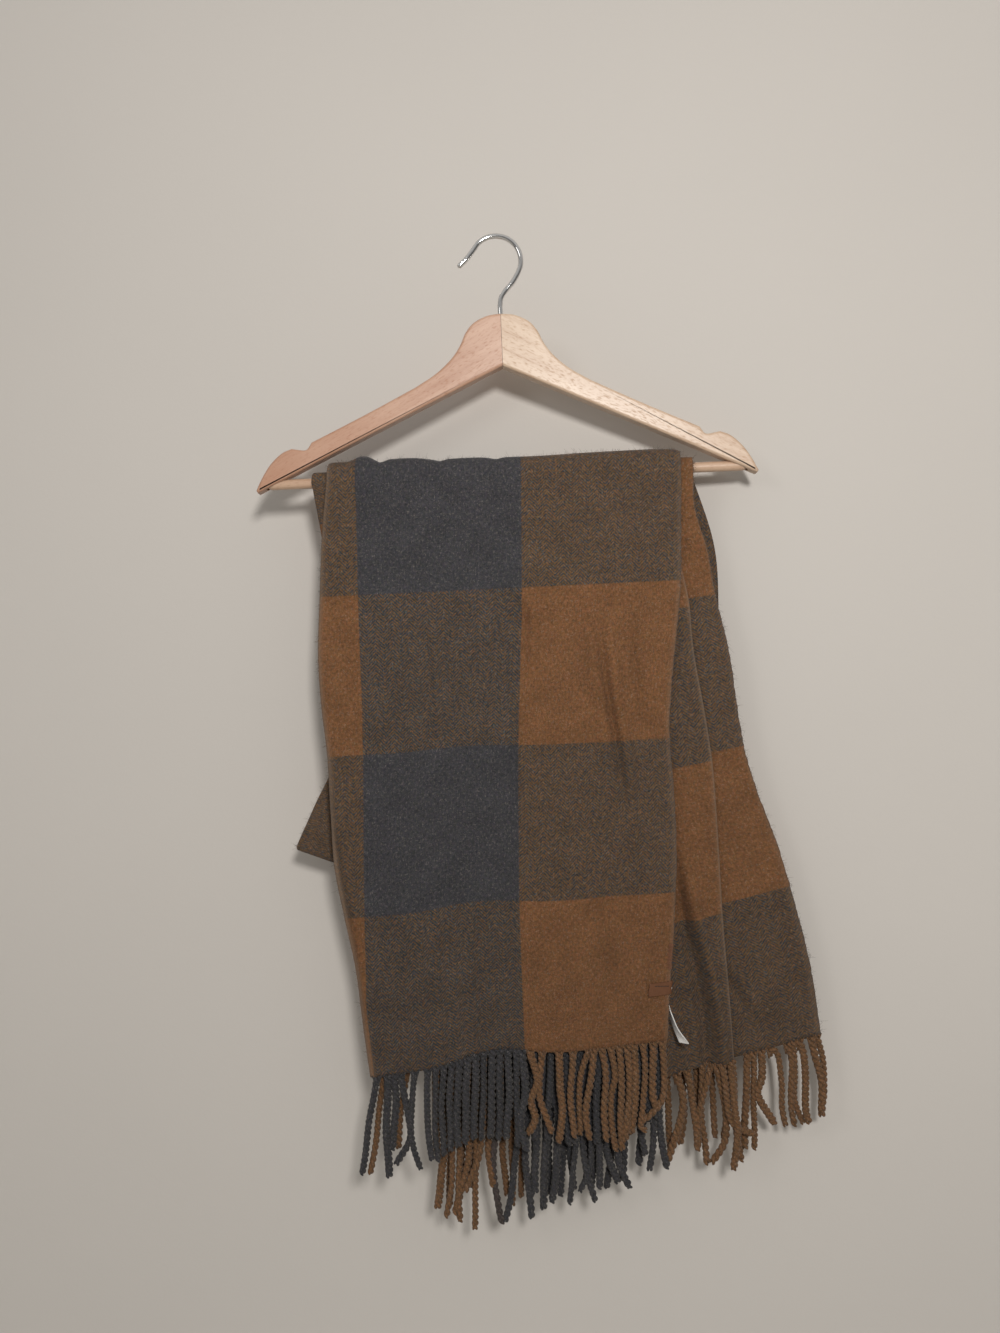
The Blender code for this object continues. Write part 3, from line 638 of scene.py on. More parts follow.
def crease_depth(x, z, creases):
    """How far back the creases push the cloth at each place."""
    total = np.zeros_like(x)
    for crease in creases:
        width, depth, *line = np.array(crease) * TENTH_OF_MM
        line = smooth_rows(np.reshape(line, (-1, 2)), 6)
        nearest = np.full(x.shape, 1e9)
        share = np.zeros_like(x)
        lengths = cloth_length(line[:, 0], line[:, 1])
        for number, (start, end) in enumerate(zip(line, line[1:])):
            run = end - start
            size = run @ run
            t = np.clip(((x - start[0]) * run[0] + (z - start[1]) * run[1]) / size, 0, 1)
            away = np.hypot(x - start[0] - t * run[0], z - start[1] - t * run[1])
            closer = away < nearest
            nearest = np.where(closer, away, nearest)
            here = (lengths[number] + t * math.sqrt(size)) / lengths[-1]
            share = np.where(closer, here, share)
        fade = np.clip(np.minimum(share, 1 - share) / CREASE_END_SHARE, 0, 1)
        fade = CREASE_AT_ENDS + (1 - CREASE_AT_ENDS) * fade * fade * (3 - 2 * fade)
        total += depth * fade * np.exp(-((nearest / width) ** 2))
    return total


def bar_ripple(x, drop):
    """How far the layers stand off the bar at x, fading away as they drop below it."""
    fine = smooth_rows(np.array(BAR_RIPPLES) * TENTH_OF_MM, 6)
    return np.interp(x, fine[:, 0], fine[:, 1]) * np.exp(-((drop / RIPPLE_FADE) ** 2))


def uneven_selvedges(grid, seed):
    """Moves the two long edges in and out a little from row to row."""
    chance = np.random.default_rng(seed)
    for column, inner in ((0, 2), (-1, -3)):
        outward = unit(grid[:, column, :3] - grid[:, inner, :3])
        wander = chance.uniform(-SELVEDGE_WANDER, SELVEDGE_WANDER, len(grid))
        grid[:, column, :3] += outward * wander[:, None]


def sheet_mesh(name, grid, wear_and_highlight, seams=()):
    """A closed cloth wall on the grid of points and places, its edges slightly rounded.
    Its third argument says how pale each column is: partly rubbed wear, partly painted highlight
    where folds and edges catch the light. Rows in seams meet another stretch of the cloth on top of
    the bar."""
    middle, places = grid[..., :3], grid[..., 3:]
    down = np.gradient(middle, axis=0)
    across = np.gradient(middle, axis=1)
    normals = np.cross(across, down)
    for row in seams:
        normals[row, :, 1] = 0
    normals = unit(normals)
    rows, columns = middle.shape[:2]
    half = CLOTH_THICKNESS / 2
    near = (middle + normals * half).reshape(-1, 3)
    far = (middle - normals * half).reshape(-1, 3)
    index = np.arange(rows * columns).reshape(rows, columns)
    rim = np.concatenate([index[0, :], index[1:, -1], index[-1, -2::-1], index[-2:0:-1, 0]])
    centre = middle.reshape(-1, 3)
    outward = np.zeros_like(centre)
    outward[index[:, 0]] -= unit(across[:, 0])
    outward[index[:, -1]] += unit(across[:, -1])
    if rows - 1 not in [row % rows for row in seams]:
        outward[index[-1]] += unit(down[-1])
    open_edge = np.linalg.norm(outward[rim], axis=1) > 0
    bulge = centre[rim] + unit(outward[rim]) * half * EDGE_BULGE * open_edge[:, None]
    count = rows * columns
    points = np.concatenate([near, far, bulge])
    flat_places = places.reshape(-1, 2)
    point_places = np.concatenate([flat_places, flat_places, flat_places[rim]])
    corners = [index[:-1, :-1], index[1:, :-1], index[1:, 1:], index[:-1, 1:]]
    quads = np.stack(corners, axis=-1).reshape(-1, 4)
    following = np.roll(rim, -1)
    edge = 2 * count + np.arange(len(rim))
    next_edge = np.roll(edge, -1)
    faces = np.concatenate(
        [
            quads,
            quads[:, ::-1] + count,
            np.stack([rim, following, next_edge, edge], axis=1),
            np.stack([edge, next_edge, following + count, rim + count], axis=1),
        ]
    )
    mesh = mesh_of(name, points, faces.tolist(), point_places)
    worn_and_highlit = np.tile(wear_and_highlight, rows)
    layer = mesh.attributes.new("wear_and_highlight", "FLOAT", "POINT")
    layer.data.foreach_set("value", np.concatenate([worn_and_highlit, worn_and_highlit, worn_and_highlit[rim]]).astype(np.float32))
    return mesh


PALE_FIBRE = (0.30, 0.26, 0.22, 1)


def scaled(tree, colour, gain):
    """The colour times the gain."""
    values = {0: colour, "Scale": gain}
    return add_node(tree, "ShaderNodeVectorMath", values, operation="SCALE").outputs[0]


def heathered_yarn_group():
    """Yarn spun from fibres of slightly different shades. Place runs along the yarn in
    Y, and one unit is a yarn's width."""
    group, entry, leave = new_group(
        "heathered_yarn",
        (
            ("Place", "NodeSocketVector"),
            ("Colour", "NodeSocketColor"),
            ("Strength", "NodeSocketFloat"),
        ),
        (("Colour", "NodeSocketColor"),),
    )
    shades = noise(group, stretched(group, entry["Place"], (0.60, 0.24, 0.60)), 1.0, 3.0)
    unevenness = calculate(group, "SUBTRACT", shades["Fac"], 0.5)
    change = calculate(group, "MULTIPLY", unevenness, entry["Strength"])
    softened = {0: shades["Color"], 1: (0.40, 0.36, 0.56), 2: (0.80, 0.82, 0.72)}
    tints = add_node(group, "ShaderNodeVectorMath", softened, operation="MULTIPLY_ADD").outputs[0]
    tinted = mix_colours(group, 1.0, entry["Colour"], tints, "MULTIPLY")
    shaded = scaled(group, tinted, calculate(group, "ADD", change, 1.0))
    flecks = noise(group, stretched(group, entry["Place"], (0.75, 0.32, 0.75)), 1.0, 2.0)["Fac"]
    pale = ranged(group, flecks, 0.56, 0.72, 0.0, 0.24)
    feed(group, leave, {"Colour": mix_colours(group, pale, shaded, PALE_FIBRE)})
    return group


def wool_nap_group():
    """The short loose fibres that brushing raises, as a height."""
    group, entry, leave = new_group(
        "wool_nap", (("Place", "NodeSocketVector"),), (("Height", "NodeSocketFloat"),)
    )
    fine = calculate(
        group, "MULTIPLY", noise(group, entry["Place"], 900.0, 3.0, Distortion=1.2)["Fac"], 0.6
    )
    tufts = calculate(group, "MULTIPLY", noise(group, entry["Place"], 210.0, 2.0)["Fac"], 0.5)
    feed(group, leave, {"Height": calculate(group, "ADD", fine, tufts)})
    return group


RUST = (0.130, 0.0590, 0.0245, 1)
SLATE = (0.0350, 0.0340, 0.0372, 1)
UNLIKE_SHADE = (0.775, 0.92, 0.97, 1)
# Painted shade: how dark each end's last three checks get at the hem, for the light falling off
# lower down
PAINTED_HEM_SHADE = 0.82
# Pale colour of rubbed folds and edges, which also stands as painted highlight where the folds catch
# the light
RUBBED_AND_HIGHLIGHT_COLOUR = (0.165, 0.115, 0.080, 1)
TWILL_PITCH = 0.0029
HERRINGBONE = 0.0075
STRIPE_BLUR = 0.0006
YARNS_PER_METRE = (1000.0, 1000.0, 0.0)
WOOL = {"Roughness": 0.95, "Specular_IOR_Level": 0.2, "Sheen_Roughness": 0.45}
heathered_yarn = heathered_yarn_group()
wool_nap = wool_nap_group()


def soft_stripes(tree, place, pitch):
    """1 in the first of each pair of stripes, 0 in the next, with slightly soft edges."""
    wave = calculate(tree, "PINGPONG", calculate(tree, "ADD", place, -pitch / 2), pitch)
    return ranged(tree, wave, pitch / 2 + STRIPE_BLUR, pitch / 2 - STRIPE_BLUR)


def place_yarn(tree, place, scale, colour, strength):
    """The colour of heathered yarn at the place."""
    values = {"Place": stretched(tree, place, scale), "Colour": colour, "Strength": strength}
    return place_group(tree, heathered_yarn, values)["Colour"]


def plaid_twill():
    """Herringbone twill. Warp stripes and weft rows alternate rust and slate, so like
    colours cross in plain checks and unlike ones in grey-brown ones."""
    material, tree, shader = new_material(
        "plaid_twill",
        **WOOL,
        Sheen_Weight=0.08,
        Sheen_Tint=(0.75, 0.68, 0.62, 1),
    )
    place = add_node(tree, "ShaderNodeUVMap", {}, uv_map="cloth").outputs["UV"]
    parts = add_node(tree, "ShaderNodeSeparateXYZ", {0: place}).outputs
    across, along = parts["X"], parts["Y"]
    rust_warp = soft_stripes(tree, across, STRIPE)
    rust_weft = soft_stripes(tree, along, ROW)

    # The twill's slanting ribs, blurred by brushing: how much weft shows at each place
    wobble = noise(tree, place, 150.0, 2.0)["Fac"]
    zigzag = calculate(tree, "PINGPONG", across, HERRINGBONE)
    rise = calculate(tree, "ADD", along, calculate(tree, "MULTIPLY_ADD", wobble, 0.0014, zigzag))
    twill = calculate(tree, "SINE", calculate(tree, "MULTIPLY", rise, 2 * math.pi / TWILL_PITCH))
    speckle = calculate(tree, "SUBTRACT", noise(tree, place, 330.0, 1.5)["Fac"], 0.5)
    rough_twill = calculate(tree, "MULTIPLY_ADD", speckle, 5.0, twill)
    weft_share = ranged(tree, rough_twill, -1.0, 1.45)
    warp_colour = mix_colours(tree, rust_warp, SLATE, RUST)
    warp_yarn = place_yarn(tree, place, YARNS_PER_METRE, warp_colour, 1.5)
    turned = add_node(tree, "ShaderNodeCombineXYZ", {"X": along, "Y": across}).outputs[0]
    weft_colour = mix_colours(tree, rust_weft, SLATE, RUST)
    weft_yarn = place_yarn(tree, turned, YARNS_PER_METRE, weft_colour, 1.5)
    woven = mix_colours(tree, weft_share, warp_yarn, weft_yarn)
    unlike = calculate(tree, "ABSOLUTE", calculate(tree, "SUBTRACT", rust_warp, rust_weft))
    veiled = mix_colours(tree, unlike, woven, UNLIKE_SHADE, "MULTIPLY")

    # Uneven brushing; painted shade that darkens each end's last three checks towards the hem, where
    # the light falls off; and pale folds and edges, partly rubbed wear and partly painted highlight
    # where they catch the light
    hollows = ranged(tree, noise(tree, place, 400.0, 2.0)["Fac"], 0.3, 0.7, 0.85, 1.15)
    tone = calculate(tree, "MULTIPLY_ADD", noise(tree, place, 42.0, 5.0)["Fac"], 0.60, 0.70)
    from_end = calculate(tree, "MINIMUM", along, calculate(tree, "SUBTRACT", CLOTH_LENGTH, along))
    # painted shade, darker towards each hem
    painted_hem_falloff = ranged(tree, from_end, 0.0, 3 * ROW, PAINTED_HEM_SHADE, 1.0)
    depth = calculate(tree, "MULTIPLY", calculate(tree, "MULTIPLY", hollows, tone), painted_hem_falloff)
    # pale folds and edges: rubbed wear together with painted highlight
    wear_and_highlight = add_node(tree, "ShaderNodeAttribute", {}, attribute_name="wear_and_highlight").outputs["Fac"]
    colour = mix_colours(tree, wear_and_highlight, scaled(tree, veiled, depth), RUBBED_AND_HIGHLIGHT_COLOUR)
    feed(tree, shader.inputs, {"Base Color": colour})
    nap = place_group(tree, wool_nap, {"Place": place})["Height"]
    height = calculate(tree, "ADD", nap, calculate(tree, "MULTIPLY", weft_share, 0.35))
    bump(tree, shader, height, 0.6, 0.0006)
    return material


NEAR_STEPS = 140
FAR_STEPS = 44
ROW_STEPS = 15
BAR_TURNS = np.radians((0.001, 12, 24, 36, 48, 60, 70, 80))


def front_grid():
    """The front end from the seam on top of the bar down to its hem."""
    outer = FRONT_LEAF_RADIUS + LAYER_PITCH / 2
    ends = [part for x in FRONT_AT_BAR for part in (x, bar_height(x))]
    bar_rung = (*ends, -outer, LAYER_PITCH, FRONT_INSET, FRONT_BAR_CHECKS[1], *FRONT_BAR_STRIPES)
    rungs = []
    for rung in (bar_rung, *FRONT_RUNGS):
        left, right = rung[0:2], rung[2:4]
        depth, spread, inset, checks, left_meeting, right_meeting = rung[4:]
        width = math.dist(left, right)
        along, back = folded_section(width, width - inset, spread, NEAR_STEPS, FAR_STEPS)
        points = on_rung(left, right, along, depth + back)
        share = np.clip(along / width, 0, 1)
        fold_place = 2 * STRIPE + left_meeting * width
        meetings = (0, left_meeting, right_meeting, 1)
        near_places = np.interp(share, meetings, (fold_place, 2 * STRIPE, STRIPE, 0))
        lengths = cloth_length(along, back)
        from_fold = lengths - lengths[NEAR_STEPS]
        places = np.where(np.arange(len(along)) < NEAR_STEPS, near_places, fold_place + from_fold)
        nearness = float(np.interp(checks, (0, 0.4, 1, 2, 2.6), (1, 0.75, 0.5, 0.3, 0)))
        points[:, 2] += hem_lift(share, nearness)
        rungs.append(with_place(points, places, checks))
    hanging = smooth_rows(rungs, ROW_STEPS)
    width = (FRONT_AT_BAR[1] - FRONT_AT_BAR[0]) / math.cos(HANGER_ROLL)
    along, back = folded_section(width, width - FRONT_INSET, LAYER_PITCH, NEAR_STEPS, FAR_STEPS)
    bend = []
    for turn in BAR_TURNS:
        points = over_bar(along, outer - back, turn, FRONT_AT_BAR[0])
        checks = np.interp(turn, (0, math.pi / 2), FRONT_BAR_CHECKS)
        bend.append(with_place(points, hanging[0][:, 3], checks))
    grid = np.concatenate([bend, hanging])
    turns = np.concatenate([BAR_TURNS, np.full(len(hanging), math.pi / 2)])[:, None]
    drop = np.clip(bar_height(grid[..., 0]) - grid[..., 2], 0, None)
    ripple = bar_ripple(grid[..., 0], drop)
    creases = crease_depth(grid[..., 0], grid[..., 2], FRONT_CREASES)
    leaf_share = np.where(grid[..., 1] - grid[:, :1, 1] > 0.0015, FAR_LEAF_CREASES, 1.0)
    grid[..., 2] += ripple * np.cos(turns)
    grid[..., 1] -= ripple * np.sin(turns) * RIPPLE_FORWARD
    grid[..., 1] += creases * leaf_share * (drop > 0.004)
    uneven_selvedges(grid, 3)
    return grid


def rubbed_and_highlit_columns(count, folds):
    """How pale each column of a sheet is, from its folds and edges as (column, how much): partly
    rubbed wear, partly painted highlight where they catch the light."""
    columns = np.arange(count)
    return sum(much * np.exp(-(((columns - column) / 1.3) ** 2)) for column, much in folds)


plaid = plaid_twill()
front = front_grid()
# Pale fold and selvedge: partly rubbed wear, partly painted highlight
front_worn_and_highlit = ((0, 0.30), (NEAR_STEPS + 1, 0.45), (NEAR_STEPS + 3, 0.55))
front_wear_and_highlight = rubbed_and_highlit_columns(front.shape[1], front_worn_and_highlit)
front_sheet = sheet_mesh("front_cloth", front, front_wear_and_highlight, (0,))
front_end = add_piece(front_sheet, plaid, "plaid_wool", "front_end")


# Under end: the scarf's other end, which hangs behind the front and swings out to the
# right. A pleat laps over near its selvedge, so it shows as two strips.

# Rungs as the front's are, but with the checks counted at the left and at the right,
# and then the pleat: where its fold lies as a share of the width, how much cloth it
# laps over, and how far back the strip to its right lies. Below zero, it is a ramp.
UNDER_RUNGS = (
    (-0.1515, -0.2641, 0.1758, -0.2395, -0.0089, 0.0060, 0.021, 10.08, 10.44, 0.940, -0.012, 0.0010),
    (-0.1409, -0.3142, 0.1876, -0.2773, -0.0092, 0.0095, 0.021, 10.52, 10.72, 0.922, -0.006, 0.0040),
    (-0.1304, -0.3669, 0.1946, -0.3159, -0.0095, 0.0110, 0.021, 11.00, 11.00, 0.924, 0.004, 0.0056),
    (-0.1198, -0.4196, 0.2060, -0.3625, -0.0098, 0.0112, 0.021, 11.36, 11.35, 0.904, 0.007, 0.0056),
    (-0.1093, -0.4705, 0.2130, -0.4090, -0.0101, 0.0114, 0.021, 11.72, 11.70, 0.907, 0.006, 0.0056),
    (-0.0987, -0.5232, 0.2209, -0.4547, -0.0103, 0.0116, 0.021, 12.06, 12.04, 0.904, 0.006, 0.0056),
    (-0.0882, -0.5741, 0.2341, -0.4968, -0.0106, 0.0117, 0.024, 12.40, 12.38, 0.876, 0.006, 0.0056),
    (-0.0776, -0.6250, 0.2516, -0.5433, -0.0108, 0.0118, 0.026, 12.78, 12.76, 0.835, 0.006, 0.0056),
    (-0.0662, -0.6785, 0.2648, -0.5899, -0.0110, 0.0119, 0.028, 13.15, 13.13, 0.805, 0.006, 0.0056),
    (-0.0548, -0.7320, 0.2779, -0.6416, -0.0113, 0.0120, 0.028, 13.54, 13.52, 0.781, 0.006, 0.0056),
    (-0.0425, -0.7899, 0.2875, -0.7039, -0.0115, 0.0121, 0.028, 14.00, 14.00, 0.763, 0.006, 0.0056),
)
UNDER_AT_BAR = (-0.1603, 0.1745)
UNDER_INSET = 0.021
UNDER_BAR_CHECKS = ((9.58, 10.08), (9.67, 10.18))

# How many checks the cloth left of the pleat lags by, the width of the stripe along the
# selvedge, and how much of the stripe at the lengthwise fold lies in the near leaf
UNDER_BODY_LAG = 0.05
SPREAD_STRIPE = 0.160
FOLDED_STRIPE = 0.043

STRIP_STEPS = 24
BODY_STEPS = 104

# Soft creases of the under end, as the front's are
UNDER_CREASES = (
    (30, 48, 2030, -6480, 2130, -6650, 2270, -6880),
    (50, -30, 2120, -6450, 2210, -6620, 2340, -6820),
    (110, -20, 2150, -5600, 2300, -6400, 2480, -7000),
    (50, -62, 1640, -5400, 1790, -6044, 1900, -6456, 2000, -7008, 2050, -7800),
    (66, 88, 1540, -5300, 1670, -6044, 1770, -6456, 1850, -7008, 1880, -7900),
    (120, 50, 1420, -5400, 1540, -6100, 1620, -6456, 1680, -7008, 1690, -7900),
    (40, 22, 1880, -7400, 1900, -7900),
    (100, -16, 1800, -3300, 1930, -4300, 2000, -5200),
)


def pleat_line(at, lap, step, width):
    """The pleat's double bend, as distances along the rung and back from the near leaf."""
    fold = at * width
    radius = step / 4
    count = 2 * len(HALF_ROUND) - 1
    if lap <= 0:
        share = np.arange(count + 1) / count
        return fold - lap * (share - 0.5), step * share
    out, turn_back = half_round(radius)
    along = np.concatenate([fold - radius + out, fold - lap + radius - out])
    return along, np.concatenate([turn_back, 2 * radius + turn_back])


def pleated_section(near_width, far_width, spread, pleat):
    """As folded_section, with a pleat in the near leaf."""
    at, lap, step = pleat
    radius = spread / 2
    fold_along, fold_back = pleat_line(at, lap, step, near_width)
    strip = np.linspace(near_width, fold_along[-1], STRIP_STEPS + 1)[:-1]
    body = np.linspace(fold_along[0], radius, BODY_STEPS + 1)[1:-1]
    far = np.linspace(radius, far_width, FAR_STEPS + 1)[1:]
    out, turn_back = half_round(radius)
    along = [strip, fold_along[::-1], body, radius - out, far]
    back = [0 * strip + step, fold_back[::-1], 0 * body, turn_back, 0 * far + spread]
    return np.concatenate(along), np.concatenate(back)


def under_grid():
    """The under end from the seam on top of the bar down to its hem."""
    outer = UNDER_LEAF_RADIUS + LAYER_PITCH / 2
    left_x, right_x = UNDER_AT_BAR
    ends = [part for x in UNDER_AT_BAR for part in (x, bar_height(x))]
    flat_pleat = (UNDER_RUNGS[0][9], -0.015, 0.0)
    bar_rung = (*ends, -outer, LAYER_PITCH, UNDER_INSET, *UNDER_BAR_CHECKS[1], *flat_pleat)
    strip_points = STRIP_STEPS + len(HALF_ROUND)
    rungs = []
    for rung in (bar_rung, *UNDER_RUNGS):
        left, right, depth, spread, inset = rung[0:2], rung[2:4], rung[4], rung[5], rung[6]
        width = math.dist(left, right)
        along, back = pleated_section(width, width - inset, spread, rung[9:12])
        points = on_rung(left, right, along, depth + back)
        share = np.clip(along / width, 0, 1)
        lag = np.where(np.arange(len(along)) < strip_points, 0.0, UNDER_BODY_LAG)
        checks = rung[7] + (rung[8] - rung[7]) * share - lag * (rung[10] > 0)
        lengths = cloth_length(along, back)
        fold = strip_points + len(HALF_ROUND) + BODY_STEPS
        marks = (0, SPREAD_STRIPE, lengths[fold] - FOLDED_STRIPE, lengths[fold], lengths[-1])
        stripes = (CLOTH_WIDTH, 4 * STRIPE, 3 * STRIPE, 3 * STRIPE - FOLDED_STRIPE, 0)
        places = np.interp(lengths, marks, stripes)
        rungs.append(with_place(points, places, checks))
    hanging = smooth_rows(rungs, ROW_STEPS)
    width = (right_x - left_x) / math.cos(HANGER_ROLL)
    along, back = pleated_section(width, width - UNDER_INSET, LAYER_PITCH, flat_pleat)
    share = np.clip(along / width, 0, 1)
    bend = []
    for turn in BAR_TURNS:
        points = over_bar(along, outer - back, turn, left_x)
        part = turn / (math.pi / 2)
        first, last = (top + (side - top) * part for top, side in zip(*UNDER_BAR_CHECKS))
        bend.append(with_place(points, hanging[0][:, 3], first + (last - first) * share))
    grid = np.concatenate([bend, hanging])
    grid[..., 1] += crease_depth(grid[..., 0], grid[..., 2], UNDER_CREASES)
    uneven_selvedges(grid, 5)
    return grid


under = under_grid()
pleat_crest = STRIP_STEPS + len(HALF_ROUND) + 6
# Pale selvedge and pleat fold: partly rubbed wear, partly painted highlight
under_wear_and_highlight = rubbed_and_highlit_columns(under.shape[1], ((0, 0.25), (pleat_crest, 0.5), (pleat_crest + 1, 0.2)))
under_sheet = sheet_mesh("under_cloth", under, under_wear_and_highlight, (0,))
under_end = add_piece(under_sheet, plaid, "plaid_wool", "under_end")


# Back fold: the middle of the scarf, which hangs behind the bar as a loop of two
# strands. Its bottom bend slopes, so its corner peeks out at the left.

# From the bar down: the rung's ends, how much shorter the outer and the inner leaf are,
# the loop's middle depth, the gap between its strands, the spread of each, and how
# many checks along the scarf the rung is.
LOOP_OUTER = (
    (-0.1474, -0.2836, 0.1851, -0.2728, 0.010, 0.012, 0.0110, 0.0064, 0.0028, 4.52),
    (-0.1393, -0.3467, 0.1996, -0.3467, 0.020, 0.012, 0.0110, 0.0068, 0.0029, 5.02),
    (-0.1348, -0.4098, 0.2050, -0.4278, 0.025, 0.010, 0.0110, 0.0072, 0.0030, 5.54),
    (-0.1429, -0.4657, 0.2068, -0.5108, 0.034, 0.008, 0.0110, 0.0076, 0.0031, 6.05),
    (-0.1592, -0.5027, 0.2033, -0.5901, 0.048, 0.006, 0.0110, 0.0080, 0.0032, 6.47),
    (-0.1750, -0.5379, 0.1934, -0.6668, 0.066, 0.004, 0.0110, 0.0084, 0.0033, 6.90),
)
LOOP_INNER = (
    (-0.1508, -0.2843, 0.1968, -0.2736, 0.024, 0.0, 0.0110, 0.0064, 0.0028, 9.48),
    (-0.1400, -0.3470, 0.2008, -0.3470, 0.027, 0.0, 0.0110, 0.0068, 0.0029, 8.98),
    (-0.1348, -0.4096, 0.2050, -0.4276, 0.030, 0.0, 0.0110, 0.0072, 0.0030, 8.46),
    (-0.1429, -0.4655, 0.2068, -0.5105, 0.036, 0.001, 0.0110, 0.0076, 0.0031, 7.95),
    (-0.1592, -0.5025, 0.2033, -0.5899, 0.048, 0.002, 0.0110, 0.0080, 0.0032, 7.53),
    (-0.1750, -0.5379, 0.1934, -0.6668, 0.066, 0.004, 0.0110, 0.0084, 0.0033, 7.10),
)
LOOP_OUTER_CHECKS = (3.90, 4.06)
LOOP_INNER_CHECKS = (9.93, 10.08)
LOOP_STEPS = 58
LOOP_ROW_STEPS = 9
LOOP_BOTTOM_TURNS = HALF_ROUND[1:-1]

# Soft creases of the loop, as the front's are; they show from behind
LOOP_CREASES = (
    (160, 30, -900, -2600, -700, -3800, -800, -5200),
    (200, -22, -200, -3000, 50, -4200, -150, -5700),
    (220, 34, 700, -2500, 900, -4000, 750, -6000),
    (140, -22, 1300, -3300, 1450, -4800, 1250, -6200),
    (120, 18, -1650, -5200, -800, -5450, 300, -5900),
)


def loop_rung(rung, strand):
    """One rung of the loop. strand is 1 for the strand farthest from the viewer."""
    left, right = rung[0:2], rung[2:4]
    inset_out, inset_in, middle, gap, spread, checks = rung[4:]
    width = math.dist(left, right)
    along, back = folded_section(width - inset_out, width - inset_in, spread, LOOP_STEPS, FAR_STEPS)
    depth = middle + strand * (gap + spread) / 2 - strand * back
    return with_place(on_rung(left, right, along, depth), cloth_length(along, back), checks)


def loop_bend(radius, edges, insets, turns, checks, direction):
    """The loop's cloth over the back of the bar."""
    width = (edges[1] - edges[0]) / math.cos(HANGER_ROLL)
    outer, inner = (width - inset for inset in insets)
    along, back = folded_section(outer, inner, LAYER_PITCH, LOOP_STEPS, FAR_STEPS)
    rows = []
    for turn, check in zip(turns, checks):
        points = over_bar(along, radius + direction * back, -turn, edges[0])
        rows.append(with_place(points, cloth_length(along, back), check))
    return rows


def loop_grid():
    """The loop: down its outer strand, round its bottom, and up its inner one."""
    outer = FRONT_LEAF_RADIUS + LAYER_PITCH / 2
    inner = UNDER_LEAF_RADIUS - LAYER_PITCH / 2
    turns = np.append(BAR_TURNS, math.pi / 2)
    down = np.interp(turns, (0, math.pi / 2), LOOP_OUTER_CHECKS)
    up = np.interp(turns, (0, math.pi / 2), LOOP_INNER_CHECKS[::-1])
    first = loop_bend(outer, FRONT_AT_BAR, (0, FRONT_INSET), turns, down, -1)
    last = loop_bend(inner, UNDER_AT_BAR, (UNDER_INSET, 0), turns, up, 1)
    down_rungs = [loop_rung(rung, 1) for rung in LOOP_OUTER]
    up_rungs = [loop_rung(rung, -1) for rung in LOOP_INNER[::-1]]
    outer_strand = smooth_rows([first[-1], *down_rungs], LOOP_ROW_STEPS)
    inner_strand = smooth_rows([*up_rungs, last[-1]], LOOP_ROW_STEPS)
    bottom = LOOP_OUTER[-1]
    left, right = np.array(bottom[0:2]), np.array(bottom[2:4])
    across = unit(right - left)
    downward = np.array([across[1], 0, -across[0]])
    inset_out, inset_in, middle, gap, spread, checks = bottom[4:]
    width = math.dist(left, right)
    along, back = folded_section(width - inset_out, width - inset_in, spread, LOOP_STEPS, FAR_STEPS)
    bend = []
    for angle in LOOP_BOTTOM_TURNS:
        radius = (gap + spread) / 2 - back
        points = on_rung(left, right, along, middle + radius * math.cos(angle))
        points += downward * (radius * math.sin(angle))[:, None]
        bend.append(with_place(points, cloth_length(along, back), checks + 0.2 * angle / math.pi))
    grid = np.concatenate([first[:-1], outer_strand, bend, inner_strand, last[-2::-1]])
    drop = np.clip(bar_height(grid[..., 0]) - grid[..., 2], 0, None)
    ripple = bar_ripple(grid[..., 0], drop)
    ripple[len(first) + len(outer_strand) - 1 :] = 0
    angles = np.full(len(grid), math.pi / 2)
    angles[: len(BAR_TURNS)] = BAR_TURNS
    grid[..., 2] += ripple * np.cos(angles)[:, None]
    grid[..., 1] += ripple * np.sin(angles)[:, None] * RIPPLE_FORWARD
    grid[..., 1] += crease_depth(grid[..., 0], grid[..., 2], LOOP_CREASES) * (drop > 0.02)
    return grid


loop = loop_grid()
# Pale fold and selvedge: partly rubbed wear, partly painted highlight
loop_wear_and_highlight = rubbed_and_highlit_columns(loop.shape[1], ((LOOP_STEPS + 4, 0.4), (0, 0.2)))
loop_sheet = sheet_mesh("back_cloth", loop, loop_wear_and_highlight, (0, len(loop) - 1))
back_fold = add_piece(loop_sheet, plaid, "plaid_wool", "back_fold")


# Fringe: at both ends of the scarf the warp is left unwoven, and its yarns are twisted
# by hand into two-ply strands. A strand keeps the colour of its warp stripe.

PLY_RADIUS = 0.00205
PLY_OFFSET = 0.00140
TWIST_PITCH = 0.0100
STRAND_RINGS = 62
PLY_SIDES = 6
GATHER = 0.0085
GATHER_OVERLAP = 0.0012
GATHER_WIDTH = 0.0078
GATHER_SIDES = 4
GATHER_YARNS = 5
GATHER_RADIUS = 0.00075
GATHER_RINGS = 5
# Strand colours darker than the cloth's rust and slate: painted shade for the shadow between the
# strands
RUST_STRAND_WITH_PAINTED_SHADE = (0.104, 0.0530, 0.0240, 1)
SLATE_STRAND_WITH_PAINTED_SHADE = (0.0270, 0.0266, 0.0290, 1)

